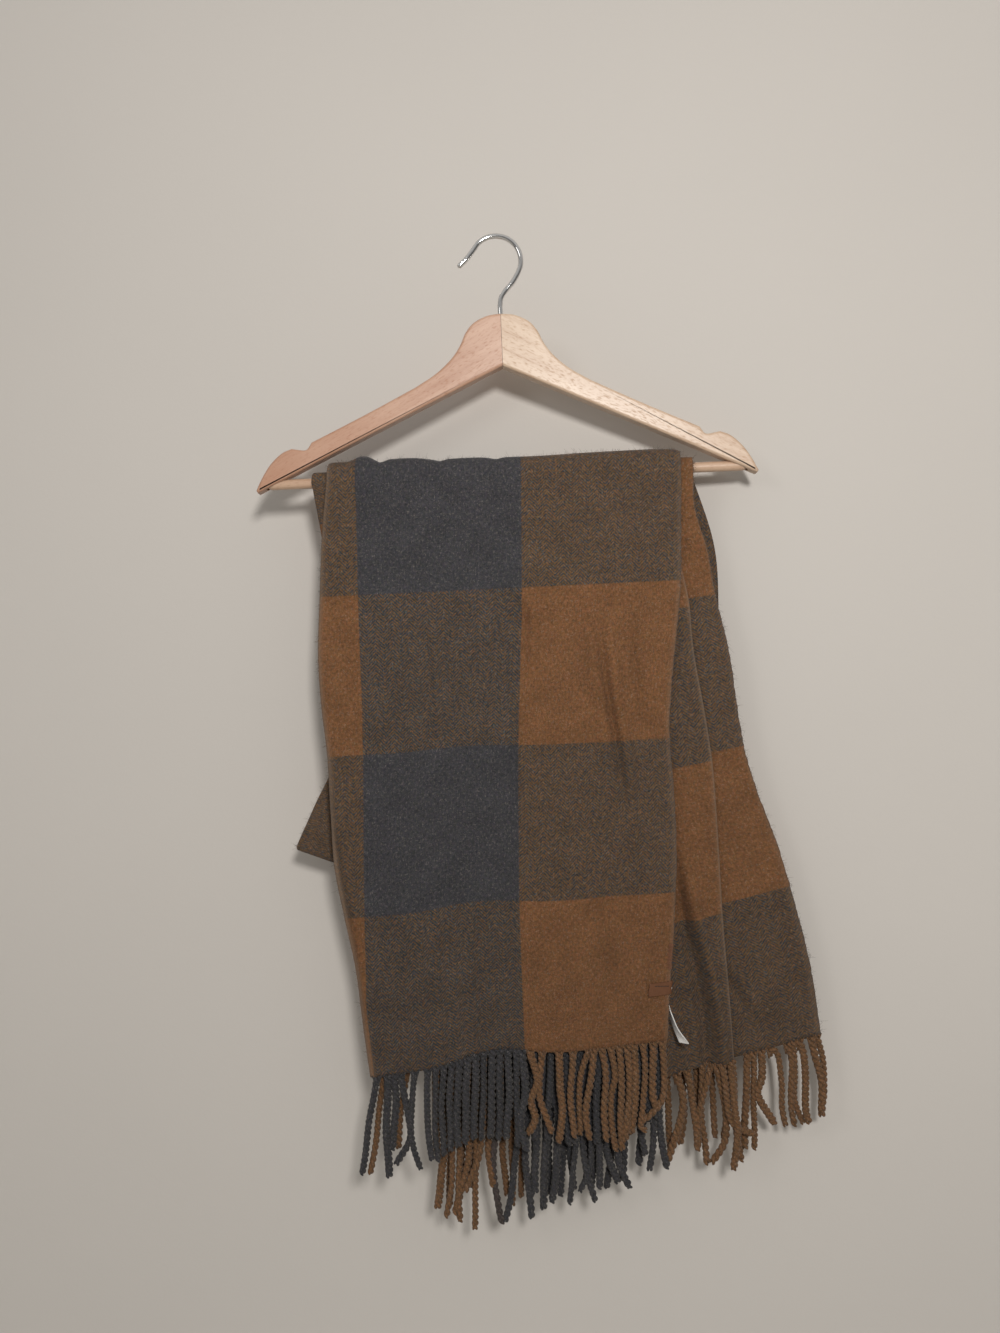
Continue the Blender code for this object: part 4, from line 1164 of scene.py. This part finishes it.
# Each strand: x of its root in the hem, then x and height of each point it passes, in
# tenths of a millimetre.
FRONT_NEAR = (
    (-1013, -1074, -7713, -1143, -8188),
    (-918, -927, -7799, -910, -8214),
    (-867, -849, -7627, -884, -7972),
    (-806, -746, -7670, -728, -7886, -849, -8102),
    (-685, -720, -7713, -694, -7929, -633, -8136),
    (-573, -582, -7627, -538, -8059),
    (-504, -512, -7670, -487, -8084),
    (-435, -452, -7627, -435, -8024),
    (-366, -383, -7583, -374, -7981),
    (-296, -322, -7583, -305, -7938),
    (-227, -245, -7540, -245, -7912),
    (-158, -167, -7540, -176, -7877),
    (-89, -98, -7497, -106, -7894),
    (-20, -20, -7497, -37, -7860),
    (49, 49, -7497, 40, -7894),
    (118, 127, -7497, 109, -7869),
    (187, 196, -7540, 204, -7938),
    (239, 265, -7454, 230, -7713, 282, -7972),
    (308, 369, -7368, 317, -7540, 360, -7696, 291, -7834),
    (412, 394, -7385, 403, -7558, 498, -7817),
    (559, 567, -7411, 593, -7627, 550, -7903),
    (680, 662, -7497, 688, -7860),
    (818, 749, -7307, 740, -7540, 740, -7851),
    (861, 826, -7411, 792, -7670, 818, -7877),
    (930, 965, -7368, 947, -7670, 965, -7894),
    (1008, 1042, -7324, 1008, -7514, 1025, -7799, 1051, -7989),
    (1077, 1103, -7411, 1085, -7704, 1111, -7972),
    (1146, 1172, -7454, 1146, -7704, 1120, -7886),
    (1206, 1224, -7324, 1206, -7609, 1189, -7834),
    (1284, 1301, -7324, 1284, -7583, 1258, -7748, 1310, -7799),
    (1371, 1371, -7324, 1371, -7514, 1405, -7609),
    (1448, 1466, -7281, 1448, -7523, 1362, -7653, 1258, -7730),
)
FRONT_FAR = (
    (-960, -1012, -7785, -1073, -8203),
    (-760, -812, -7698, -838, -7985),
    (-504, -510, -7670, -489, -8050),
    (-366, -380, -7583, -376, -7960),
    (-227, -243, -7540, -247, -7890),
    (-89, -98, -7497, -104, -7870),
    (49, 49, -7497, 42, -7870),
    (187, 194, -7540, 202, -7900),
    (362, 336, -7480, 345, -7915),
    (493, 475, -7480, 458, -7915),
    (623, 632, -7480, 649, -7959),
    (745, 719, -7480, 693, -7942),
    (919, 893, -7480, 884, -7933),
    (980, 997, -7437, 919, -7828),
    (1050, 1076, -7480, 1023, -7915),
    (1119, 1128, -7480, 1180, -7872),
    (1258, 1267, -7393, 1276, -7741),
    (1337, 1337, -7393, 1345, -7759),
    (1424, 1424, -7350, 1406, -7724),
)
UNDER_NEAR = (
    (-415, -450, -8164, -503, -8559),
    (-363, -372, -8252, -415, -8629),
    (-302, -310, -8296, -302, -8664),
    (-223, -231, -8120, -345, -8594),
    (-170, -161, -8252, -174, -8734),
    (-100, -135, -8077, -258, -8392),
    (-39, -47, -8033, -12, -8348),
    (31, -12, -8208, 40, -8515, 75, -8672),
    (215, 189, -8120, 145, -8427, 93, -8664),
    (286, 277, -8120, 329, -8629),
    (373, 364, -8077, 356, -8410),
    (452, 443, -8164, 426, -8559),
    (557, 548, -8077, 505, -8488),
    (724, 706, -8077, 654, -8506),
    (759, 794, -8164, 890, -8480),
    (855, 846, -8120, 750, -8401),
    (943, 917, -7989, 925, -8366),
    (995, 987, -8033, 1083, -8322),
    (1101, 1083, -8033, 1118, -8208, 1188, -8375),
    (1241, 1276, -7814, 1320, -8077),
    (1381, 1398, -7858, 1355, -8208),
    (1442, 1442, -7726, 1477, -7989, 1512, -8191),
    (1600, 1653, -7595, 1618, -7858, 1512, -8147),
    (1696, 1749, -7638, 1775, -7858, 1784, -8050),
    (1915, 1828, -7577, 1793, -7770, 1802, -7989),
    (1837, 1828, -7770, 1854, -7989, 1880, -8191),
    (1951, 2029, -7700, 2029, -7963, 1898, -8155),
    (1994, 2038, -7647, 2108, -7805, 2266, -7884),
    (2064, 2091, -7638, 2126, -7866, 2082, -8191),
    (2091, 2108, -7682, 2126, -7901, 2161, -8129),
    (2231, 2213, -7630, 2205, -8042),
    (2284, 2292, -7638, 2292, -8059),
    (2354, 2362, -7419, 2327, -7577, 2468, -7831),
    (2432, 2503, -7227, 2529, -7463, 2529, -7665, 2573, -7849),
    (2581, 2616, -7279, 2616, -7656, 2643, -7849),
    (2634, 2652, -7376, 2643, -7621, 2730, -7831),
    (2687, 2730, -7253, 2739, -7656, 2774, -7814),
    (2792, 2836, -7253, 2888, -7481, 2897, -7770),
    (2844, 2897, -7270, 2914, -7551, 2879, -7726),
)
UNDER_FAR = (
    (-377, -386, -8178, -404, -8578),
    (-271, -288, -8178, -315, -8542),
    (-146, -182, -8089, -209, -8409),
    (93, 76, -8089, 111, -8498),
    (164, 156, -8089, 164, -8578),
    (253, 235, -8089, 244, -8515),
    (342, 360, -8089, 315, -8578),
    (502, 484, -8089, 484, -8489),
    (617, 608, -8089, 591, -8498),
    (679, 671, -8089, 706, -8444),
    (813, 822, -8089, 813, -8400),
    (910, 901, -8045, 848, -8444),
    (1035, 1035, -8045, 999, -8418),
    (1168, 1159, -8000, 1132, -8356),
    (1319, 1310, -7912, 1283, -8222),
    (1532, 1541, -7734, 1567, -8089),
    (1674, 1683, -7734, 1656, -8045),
    (1807, 1798, -7690, 1852, -8000),
    (1931, 1940, -7645, 1967, -7983),
    (2056, 2065, -7645, 2029, -7983),
)


def strands_of(table):
    """Each strand as its root's x and the points that it passes, in metres."""
    rows = [np.array(row) * TENTH_OF_MM for row in table]
    return [(row[0], row[1:].reshape(-1, 2)) for row in rows]


def hem_points(hem, spots):
    """Points on a hem line at the given x, with their places across the warp."""
    order = np.argsort(hem[:, 0])
    fields = [np.interp(spots, hem[order, 0], hem[order, field]) for field in range(4)]
    return np.stack(fields, axis=-1)


def strand_paths(roots, strands, seed):
    """Each strand's middle line, from its root in the hem through its points."""
    chance = np.random.default_rng(seed)
    paths = []
    for root, (_, rest) in zip(roots, strands):
        line = smooth_rows([(root[0], root[2]), *rest], 12)
        run = cloth_length(line[:, 0], line[:, 1])
        spots = np.linspace(0, run[-1], STRAND_RINGS)
        x, z = (np.interp(spots, run, line[:, axis]) for axis in range(2))
        loose = 1 - np.exp(-spots / 0.014)
        phase = chance.uniform(0, 2 * math.pi, 2)
        x = x + loose * 0.0005 * np.sin(spots / 0.010 + phase[0])
        away = chance.uniform(-0.0020, 0.0014) + 0.0008 * np.sin(spots / 0.015 + phase[1])
        paths.append(np.stack([x, root[1] + loose * away, z], axis=1))
    return np.array(paths)


def bundle(lines, radii, sides):
    """Points and faces of many thin tubes of equally many rings, closed at both ends."""
    count, rings = lines.shape[:2]
    along = unit(np.gradient(lines, axis=1))
    across = unit(np.cross(along, (0.0, 1.0, 0.0)))
    behind = np.cross(across, along)
    angles = np.linspace(0, 2 * math.pi, sides, endpoint=False)
    cos, sin = np.cos(angles)[:, None], np.sin(angles)[:, None]
    ring = across[:, :, None] * cos + behind[:, :, None] * sin
    points = (lines[:, :, None] + ring * radii[:, :, None, None]).reshape(-1, 3)
    index = np.arange(count * rings * sides).reshape(count, rings, sides)
    following = np.roll(index, -1, axis=2)
    quads = np.stack([index[:, :-1], following[:, :-1], following[:, 1:], index[:, 1:]], axis=-1)
    faces = quads.reshape(-1, 4).tolist() + index[:, 0, ::-1].tolist() + index[:, -1].tolist()
    return points, faces


def two_plies(paths, seed):
    """The middle lines and radii of the two plies that twist round each path. They part
    a little at the root and at the tip."""
    chance = np.random.default_rng(seed)
    count = len(paths)
    steps = np.linalg.norm(np.diff(paths, axis=1), axis=2)
    run = np.concatenate([np.zeros((count, 1)), np.cumsum(steps, axis=1)], axis=1)
    share = run / run[:, -1:]
    along = unit(np.gradient(paths, axis=1))
    across = unit(np.cross(along, (0.0, 1.0, 0.0)))
    behind = np.cross(across, along)
    start = chance.uniform(0, 2 * math.pi, (count, 1))
    pitch = TWIST_PITCH * chance.uniform(0.88, 1.2, (count, 1))
    thick = chance.uniform(0.86, 1.12, (count, 1))
    tip = np.clip((share - 0.94) / 0.06, 0, 1)
    offset = PLY_OFFSET * thick * (1 + 0.8 * np.exp(-run / 0.003) + 0.25 * tip)
    radius = PLY_RADIUS * thick * (1 - 0.45 * np.exp(-run / 0.0025) - 0.6 * tip**2)
    plies = []
    for turn in (0, math.pi):
        phase = (start + turn + 2 * math.pi * run / pitch)[..., None]
        plies.append(paths + offset[..., None] * (np.cos(phase) * across + np.sin(phase) * behind))
    return np.concatenate(plies), np.concatenate([radius, radius])


def gather_lines(hem, roots):
    """Lines of the loose warp yarns that run together from the hem into each strand."""
    share = np.linspace(0, 1, GATHER_RINGS)
    lines = []
    for root in roots:
        for part in np.linspace(-0.5, 0.5, GATHER_YARNS):
            start = hem_points(hem, root[0] + part * GATHER_WIDTH)[:3]
            pull = 1 - (1 - share) ** 1.6
            x = start[0] + (root[0] + part * 0.0026 - start[0]) * pull
            z = start[2] + GATHER_OVERLAP - share * (GATHER + GATHER_OVERLAP)
            y = root[1] + 0 * share + 0.0005 * math.cos(7 * part)
            lines.append(np.stack([x, y, z], axis=1))
    return np.array(lines)


def fringe_mesh(name, leaves, seed):
    """The fringe of one end. leaves holds each leaf's hem line and its strands."""
    points, faces, places = [], [], []
    for number, (hem, strands) in enumerate(leaves):
        roots = hem_points(hem, np.array([strand[0] for strand in strands]))
        paths = strand_paths(roots, strands, seed + number)
        plies, radii = two_plies(paths, seed + 50 + number)
        yarns = gather_lines(hem, roots)
        thin = np.full(yarns.shape[:2], GATHER_RADIUS)
        warps = np.tile(roots[:, 3], 2), np.repeat(roots[:, 3], GATHER_YARNS)
        tubes = ((plies, radii, PLY_SIDES, warps[0]), (yarns, thin, GATHER_SIDES, warps[1]))
        for lines, sizes, sides, warp in tubes:
            base = sum(len(block) for block in points)
            made, ends = bundle(lines, sizes, sides)
            points.append(made)
            faces += [[corner + base for corner in face] for face in ends]
            places.append(np.stack([np.repeat(warp, lines.shape[1] * sides), made[:, 2]], axis=1))
    return mesh_of(name, np.concatenate(points), faces, np.concatenate(places))


def twisted_wool():
    """The fringe's yarn, rust or slate as its warp stripe is, painted darker than the cloth's yarn:
    painted shade for the shadow between the strands.
    """
    material, tree, shader = new_material(
        "twisted_wool_yarn",
        **WOOL,
        Sheen_Weight=0.12,
        Sheen_Tint=(0.75, 0.66, 0.58, 1),
    )
    place = add_node(tree, "ShaderNodeUVMap", {}, uv_map="cloth").outputs["UV"]
    spot = object_place(tree)
    across = add_node(tree, "ShaderNodeSeparateXYZ", {0: place}).outputs["X"]
    colour = mix_colours(tree, soft_stripes(tree, across, STRIPE), SLATE_STRAND_WITH_PAINTED_SHADE, RUST_STRAND_WITH_PAINTED_SHADE)
    strand = place_yarn(tree, spot, (1300.0, 1300.0, 1300.0), colour, 2.2)
    feed(tree, shader.inputs, {"Base Color": strand})
    bump(tree, shader, place_group(tree, wool_nap, {"Place": spot})["Height"], 0.6, 0.0005)
    return material


yarn = twisted_wool()
front_hem = front[-1]
front_fold = NEAR_STEPS + len(HALF_ROUND) // 2
front_leaves = (
    (front_hem[: front_fold + 1], strands_of(FRONT_NEAR)),
    (front_hem[front_fold:], strands_of(FRONT_FAR)),
)
front_twists = fringe_mesh("front_strands", front_leaves, 11)
front_fringe = add_piece(front_twists, yarn, "twisted_wool", "front_fringe")

under_hem = under[-1]
pleat_tip = STRIP_STEPS + len(HALF_ROUND) + len(HALF_ROUND) // 2
under_fold = STRIP_STEPS + 2 * len(HALF_ROUND) + BODY_STEPS + len(HALF_ROUND) // 2 - 2
strip_strands = [strand for strand in strands_of(UNDER_NEAR) if strand[0] > under_hem[pleat_tip, 0]]
body_strands = [strand for strand in strands_of(UNDER_NEAR) if strand[0] <= under_hem[pleat_tip, 0]]
under_leaves = (
    (under_hem[: STRIP_STEPS + 1], strip_strands),
    (under_hem[pleat_tip : under_fold + 1], body_strands),
    (under_hem[under_fold:], strands_of(UNDER_FAR)),
)
under_twists = fringe_mesh("under_strands", under_leaves, 23)
under_fringe = add_piece(under_twists, yarn, "twisted_wool", "under_fringe")


# Raised fibres: brushing leaves short loose hairs, which stand out from the cloth's top
# bend, its folds and its selvedges.

HAIR_RADIUS = 0.00010
HAIR_RINGS = 4
HAIR_SIDES = 3
HAIR_REACH = (0.0012, 0.0034)


def raised_fibres(name, edges, seed):
    """Short hairs from the edges. Each edge is its line of points and places, the way out
    from it, and how many hairs it has."""
    chance = np.random.default_rng(seed)
    lines, places = [], []
    for line, outward, count in edges:
        spots = chance.uniform(0, len(line) - 1, count)
        steps = np.arange(len(line))
        base = np.stack([np.interp(spots, steps, line[:, field]) for field in range(5)], axis=1)
        out = np.stack([np.interp(spots, steps, outward[:, axis]) for axis in range(3)], axis=1)
        reach = chance.uniform(*HAIR_REACH, count)
        lean = chance.normal(0, 0.7, (count, 3))
        curl = chance.normal(0, 0.9, (count, 3))
        run = np.linspace(0, 1, HAIR_RINGS)[None, :, None]
        step = unit(out + lean * 0.8)[:, None] * run + curl[:, None] * run**2 * 0.6
        lines.append(base[:, None, :3] + step * reach[:, None, None])
        places.append(np.repeat(base[:, 3:], HAIR_RINGS * HAIR_SIDES, axis=0))
    hairs = np.concatenate(lines)
    radii = np.full(hairs.shape[:2], HAIR_RADIUS) * np.linspace(1, 0.5, HAIR_RINGS)
    points, faces = bundle(hairs, radii, HAIR_SIDES)
    return mesh_of(name, points, faces, np.concatenate(places))


def outward_from(grid, column, inner):
    return unit(grid[:, column, :3] - grid[:, inner, :3])


upward = np.array([[0.0, -0.2, 1.0]])
front_edges = (
    (front[0, :NEAR_STEPS], upward.repeat(NEAR_STEPS, 0), 520),
    (front[:, 0], outward_from(front, 0, 2), 520),
    (front[:, front_fold], outward_from(front, front_fold, front_fold - 8), 520),
)
front_fibres = add_piece(raised_fibres("front_fibres", front_edges, 31), plaid, "plaid_wool")
under_edges = (
    (under[:, 0], outward_from(under, 0, 2), 620),
    (under[:, pleat_tip + 1], outward_from(under, pleat_tip + 1, pleat_tip + 6), 300),
    (under[0, :STRIP_STEPS], upward.repeat(STRIP_STEPS, 0), 40),
)
under_fibres = add_piece(raised_fibres("under_fibres", under_edges, 37), plaid, "plaid_wool")
loop_fold = LOOP_STEPS + len(HALF_ROUND) // 2
loop_edges = (
    (loop[:, loop_fold], outward_from(loop, loop_fold, loop_fold - 8), 420),
    (loop[:, 0], outward_from(loop, 0, 2), 320),
)
back_fibres = add_piece(raised_fibres("back_fibres", loop_edges, 41), plaid, "plaid_wool")


# Leather label: a small tab of soft leather, folded round the front end's selvedge and
# sewn through near its top. It is bare.

LEATHER_TOP = -0.650
LEATHER_WIDTH = 0.0185
LEATHER_HEIGHT = 0.0108
LEATHER_THICKNESS = 0.0010
LEATHER_BACK_FLAP = 0.010


def selvedge_at(height):
    """The front end's selvedge at a height: its point, and the direction in to the cloth."""
    edge = front[:, 0, :3]
    order = np.argsort(edge[:, 2])
    point = np.array([np.interp(height, edge[order, 2], edge[order, field]) for field in range(3)])
    row = int(np.argmin(np.abs(edge[:, 2] - height)))
    return point, unit(front[row, 3, :3] - front[row, 0, :3])


def ribbon_mesh(name, stations, thickness):
    """A closed strip on rows of points, with its rims rounded."""
    middle = np.asarray(stations, float)
    normals = unit(np.cross(np.gradient(middle, axis=1), np.gradient(middle, axis=0)))
    rows, columns = middle.shape[:2]
    shape = bmesh.new()
    sides = []
    for side in (0.5, -0.5):
        layer = middle + normals * thickness * side
        sides.append([[shape.verts.new(point) for point in row] for row in layer])
    for layer in sides:
        for upper, lower in zip(layer, layer[1:]):
            for column in range(columns - 1):
                corners = upper[column], lower[column], lower[column + 1], upper[column + 1]
                shape.faces.new(corners)
    near, far = sides
    rim = [(0, column) for column in range(columns)]
    rim += [(row, columns - 1) for row in range(1, rows)]
    rim += [(rows - 1, column) for column in range(columns - 2, -1, -1)]
    rim += [(row, 0) for row in range(rows - 2, 0, -1)]
    edges = []
    for (row, column), (next_row, next_column) in zip(rim, rim[1:] + rim[:1]):
        near_pair, far_pair = (
            (side[row][column], side[next_row][next_column]) for side in (near, far)
        )
        shape.faces.new((*near_pair, *far_pair[::-1]))
        edges += [shape.edges.get(near_pair), shape.edges.get(far_pair)]
    round_over(shape, edges, thickness / 4, 2)
    mesh = bpy.data.meshes.new(name)
    shape.to_mesh(mesh)
    shape.free()
    mesh.shade_smooth()
    mesh.set_sharp_from_angle(angle=math.radians(50))
    return mesh


def soft_leather():
    """Rust leather with a fine pebble and a cloudy tone."""
    material, tree, shader = new_material("soft_leather", Roughness=0.55, Specular_IOR_Level=0.25)
    place = object_place(tree)
    pebble = add_node(tree, "ShaderNodeTexVoronoi", {"Vector": place, "Scale": 1400.0}).outputs
    tone = noise(tree, place, 240.0, 3.0)["Fac"]
    colour = mix_colours(tree, tone, (0.118, 0.048, 0.020, 1), (0.076, 0.029, 0.012, 1))
    feed(tree, shader.inputs, {"Base Color": colour})
    bump(tree, shader, pebble["Distance"], 0.4, 0.0002)
    return material


def leather_stations():
    clear = CLOTH_THICKNESS / 2 + SEAM_GAP + LEATHER_THICKNESS / 2
    stations = []
    for share in np.linspace(0, 1, 9):
        edge, inward = selvedge_at(LEATHER_TOP - LEATHER_HEIGHT * share)
        line = [(along, -clear) for along in np.linspace(LEATHER_WIDTH, 0, 12)]
        line += [(-clear * math.sin(turn), -clear * math.cos(turn)) for turn in HALF_ROUND[1:-1]]
        line += [(along, clear) for along in np.linspace(0, LEATHER_BACK_FLAP, 7)]
        stations.append([edge + inward * along + np.array([0, back, 0]) for along, back in line])
    return stations


tab = ribbon_mesh("leather_tab", leather_stations(), LEATHER_THICKNESS)
leather_label = add_piece(tab, soft_leather(), "rust_leather", "leather_label")


def clouded(tree, shader, share, colour, darkening):
    """Feeds the shader the colour, darkened where the share is high."""
    shade = tuple(channel * darkening for channel in colour)
    mixed = mix_colours(tree, share, (*colour, 1), (*shade, 1))
    feed(tree, shader.inputs, {"Base Color": mixed})


def sewing_thread(name, colour):
    """Twisted sewing thread."""
    material, tree, shader = new_material(name, Roughness=0.8)
    clouded(tree, shader, noise(tree, object_place(tree), 2500.0, 1.0)["Fac"], colour, 0.6)
    return material


def stitch_row(name, ends, radius):
    """Small stitches, each a short bent thread from one point to another."""
    points, faces = [], []
    for start, end, lift in ends:
        start, end = np.array(start), np.array(end)
        share = np.linspace(0, 1, 7)[:, None]
        raised = np.array([0, -1, 0]) * lift * np.sin(math.pi * share)
        route = start + (end - start) * share + raised
        made, sides = round_wire(route, radius, 8)
        faces += [tuple(corner + len(points) for corner in face) for face in sides]
        points += made.tolist()
    return mesh_of(name, points, faces)


STITCH_COUNT = 5
STITCH_PITCH = 0.0026
STITCH_LENGTH = 0.0019
STITCH_LIFT = 0.0003


def label_stitches():
    """A row of dark stitches along the tab's top."""
    made = []
    clear = CLOTH_THICKNESS / 2 + SEAM_GAP + LEATHER_THICKNESS
    for number in range(STITCH_COUNT):
        edge, inward = selvedge_at(LEATHER_TOP - 0.0024 - 0.0003 * number)
        start = edge + inward * (0.0135 - STITCH_PITCH * number) + np.array([0, -clear, 0])
        made.append((start, start - inward * STITCH_LENGTH, STITCH_LIFT))
    return made


dark_thread = sewing_thread("dark_thread", (0.030, 0.016, 0.010))
tab_row = stitch_row("tab_stitches", label_stitches(), 0.00028)
stitches = add_piece(tab_row, dark_thread, "rust_leather")


WHIPPING_TOP = -0.6185
WHIPPING_PITCH = 0.00135
WHIPPING_COUNT = 16


def selvedge_stitches():
    """Whipped stitches round the selvedge just above the tab."""
    made = []
    clear = CLOTH_THICKNESS / 2 + 0.0002
    for number in range(WHIPPING_COUNT):
        edge, inward = selvedge_at(WHIPPING_TOP - WHIPPING_PITCH * number)
        reach = 0.0036 + 0.0008 * math.sin(2.3 * number)
        start = edge + inward * reach + np.array([0, -clear, 0.0004])
        end = edge - inward * 0.0004 + np.array([0, -clear * 0.4, -0.0006])
        made.append((start, end, STITCH_LIFT))
    return made


rust_thread = sewing_thread("rust_thread", (0.140, 0.047, 0.021))
whipped_row = stitch_row("selvedge_stitches", selvedge_stitches(), 0.00035)
whipping = add_piece(whipped_row, rust_thread, "rust_leather")


# Care label: a white satin ribbon sewn in behind the same selvedge, which has curled
# so that its edge faces the viewer. It is bare.

CARE_TOP = -0.6560
CARE_WIDTH = 0.0085
CARE_THICKNESS = 0.0009

# The ribbon's near edge, as (right of the selvedge, below the top), and how far its far
# edge lies to the left of it
CARE_CURL = (
    (0.0026, 0.0000, 0.0008),
    (0.0014, 0.0050, 0.0008),
    (-0.0006, 0.0115, 0.0010),
    (0.0008, 0.0180, 0.0012),
    (0.0036, 0.0260, 0.0016),
    (0.0086, 0.0370, 0.0034),
    (0.0176, 0.0490, 0.0078),
)


def white_satin():
    """White satin ribbon with fine ribs along it, coloured grey: painted shade for its face, which
    turns away from the light.
    """
    material, tree, shader = new_material("white_satin_with_painted_shade", Roughness=0.38, Sheen_Weight=0.2)
    waves = {"Vector": object_place(tree), "Scale": 520.0, "Distortion": 0.4}
    ribs = add_node(tree, "ShaderNodeTexWave", waves, bands_direction="Y").outputs["Fac"]
    # Grey for a white ribbon: painted shade on its face
    colour = mix_colours(tree, ribs, (0.56, 0.54, 0.51, 1), (0.44, 0.42, 0.40, 1))
    feed(tree, shader.inputs, {"Base Color": colour})
    bump(tree, shader, ribs, 0.3, 0.0001)
    return material


def care_stations():
    edge, _ = selvedge_at(CARE_TOP)
    near = edge[1] + CLOTH_THICKNESS / 2 + SEAM_GAP + LEATHER_THICKNESS
    stations = []
    for right, down, lean in smooth_rows(CARE_CURL, 6):
        spot = np.array([edge[0] + right, near, edge[2] - down])
        reach = math.sqrt(CARE_WIDTH**2 - min(lean, CARE_WIDTH * 0.98) ** 2)
        stations.append(spot + np.linspace(0, 1, 7)[:, None] * (-lean, reach, 0))
    return stations


ribbon = ribbon_mesh("satin_ribbon", care_stations(), CARE_THICKNESS)
care_label = add_piece(ribbon, white_satin(), "white_satin", "care_label")


# Room: a pale painted wall close behind the hanger and a pale floor below. The wall is
# seen only from its front, so that the scarf's back can be looked at too.


def painted_plaster(name, colour, one_sided):
    """Matt paint with faint roller marks."""
    material, tree, shader = new_material(name, Roughness=0.9)
    place = object_place(tree)
    clouded(tree, shader, noise(tree, place, 2.2, 3.0)["Fac"], colour, 0.93)
    bump(tree, shader, noise(tree, place, 320.0, 3.0)["Fac"], 0.12, 0.0006)
    if one_sided:
        side = add_node(tree, "ShaderNodeNewGeometry", {}).outputs["Backfacing"]
        feed(tree, shader.inputs, {"Alpha": calculate(tree, "SUBTRACT", 1.0, side)})
    return material


def add_plane(name, corners, material):
    mesh = bpy.data.meshes.new(name)
    mesh.from_pydata(corners, [], [(0, 1, 2, 3)])
    mesh.materials.append(material)
    plane = bpy.data.objects.new(name, mesh)
    bpy.context.scene.collection.objects.link(plane)
    return plane


WALL_LEFT, WALL_RIGHT = 0.225, -0.135
WALL_HALF_WIDTH = 2.5
WALL_TOP = 1.4
FLOOR_REACH = 4
LAMP_COLOUR = (1.0, 0.985, 0.965)
FLOOR_HEIGHT = -1.60
wall = add_plane(
    "room_wall",
    (
        (-WALL_HALF_WIDTH, WALL_LEFT, FLOOR_HEIGHT),
        (WALL_HALF_WIDTH, WALL_RIGHT, FLOOR_HEIGHT),
        (WALL_HALF_WIDTH, WALL_RIGHT, WALL_TOP),
        (-WALL_HALF_WIDTH, WALL_LEFT, WALL_TOP),
    ),
    painted_plaster("wall_paint", (0.495, 0.463, 0.426), True),
)
wall.visible_diffuse = False
wall.visible_shadow = False
add_plane(
    "room_floor",
    [
        (x * FLOOR_REACH, y * FLOOR_REACH, FLOOR_HEIGHT)
        for x, y in ((-1, -1), (1, -1), (1, 1), (-1, 1))
    ],
    painted_plaster("floor_paint", (0.62, 0.60, 0.56), False),
)


def add_area_light(name, place, aim, size, power):
    light = bpy.data.lights.new(name, "AREA")
    light.shape = "DISK"
    light.size = size
    light.energy = power
    light.color = LAMP_COLOUR
    lamp = bpy.data.objects.new(name, light)
    lamp.location = place
    direction = lamp.location.copy()
    direction.x, direction.y, direction.z = (aim[axis] - place[axis] for axis in range(3))
    lamp.rotation_euler = direction.to_track_quat("-Z", "Y").to_euler()
    bpy.context.scene.collection.objects.link(lamp)


add_area_light("main_light", (0.22, -1.50, 0.10), (0, 0, -0.30), 0.24, 19.0)
add_area_light("fill_light", (-0.95, -1.30, 0.20), (0, 0, -0.40), 0.5, 3.0)
add_area_light("back_light", (0.3, 1.8, 0.6), (0, 0, -0.4), 1.2, 24.0)
world = bpy.data.worlds.new("room_light")
world.use_nodes = True
sky = world.node_tree
sky_place = add_node(sky, "ShaderNodeTexCoord", {}).outputs["Generated"]
height = add_node(sky, "ShaderNodeSeparateXYZ", {0: sky_place}).outputs["Z"]
light = {"Strength": ranged(sky, height, 0.0, 0.6, 0.16, 0.62), "Color": (*LAMP_COLOUR, 1)}
feed(sky, sky.nodes["Background"].inputs, light)
bpy.context.scene.world = world
bpy.context.scene.view_settings.view_transform = "Standard"


# Camera: a phone's wide lens, held level a little below the hanger.

camera_data = bpy.data.cameras.new("camera")
camera_data.lens = 28
camera_data.sensor_width = 36
camera = bpy.data.objects.new("camera", camera_data)
camera.location = (0.0049, -0.92, -0.3796)
camera.rotation_euler = (math.pi / 2, 0, 0)
bpy.context.scene.collection.objects.link(camera)
bpy.context.scene.camera = camera
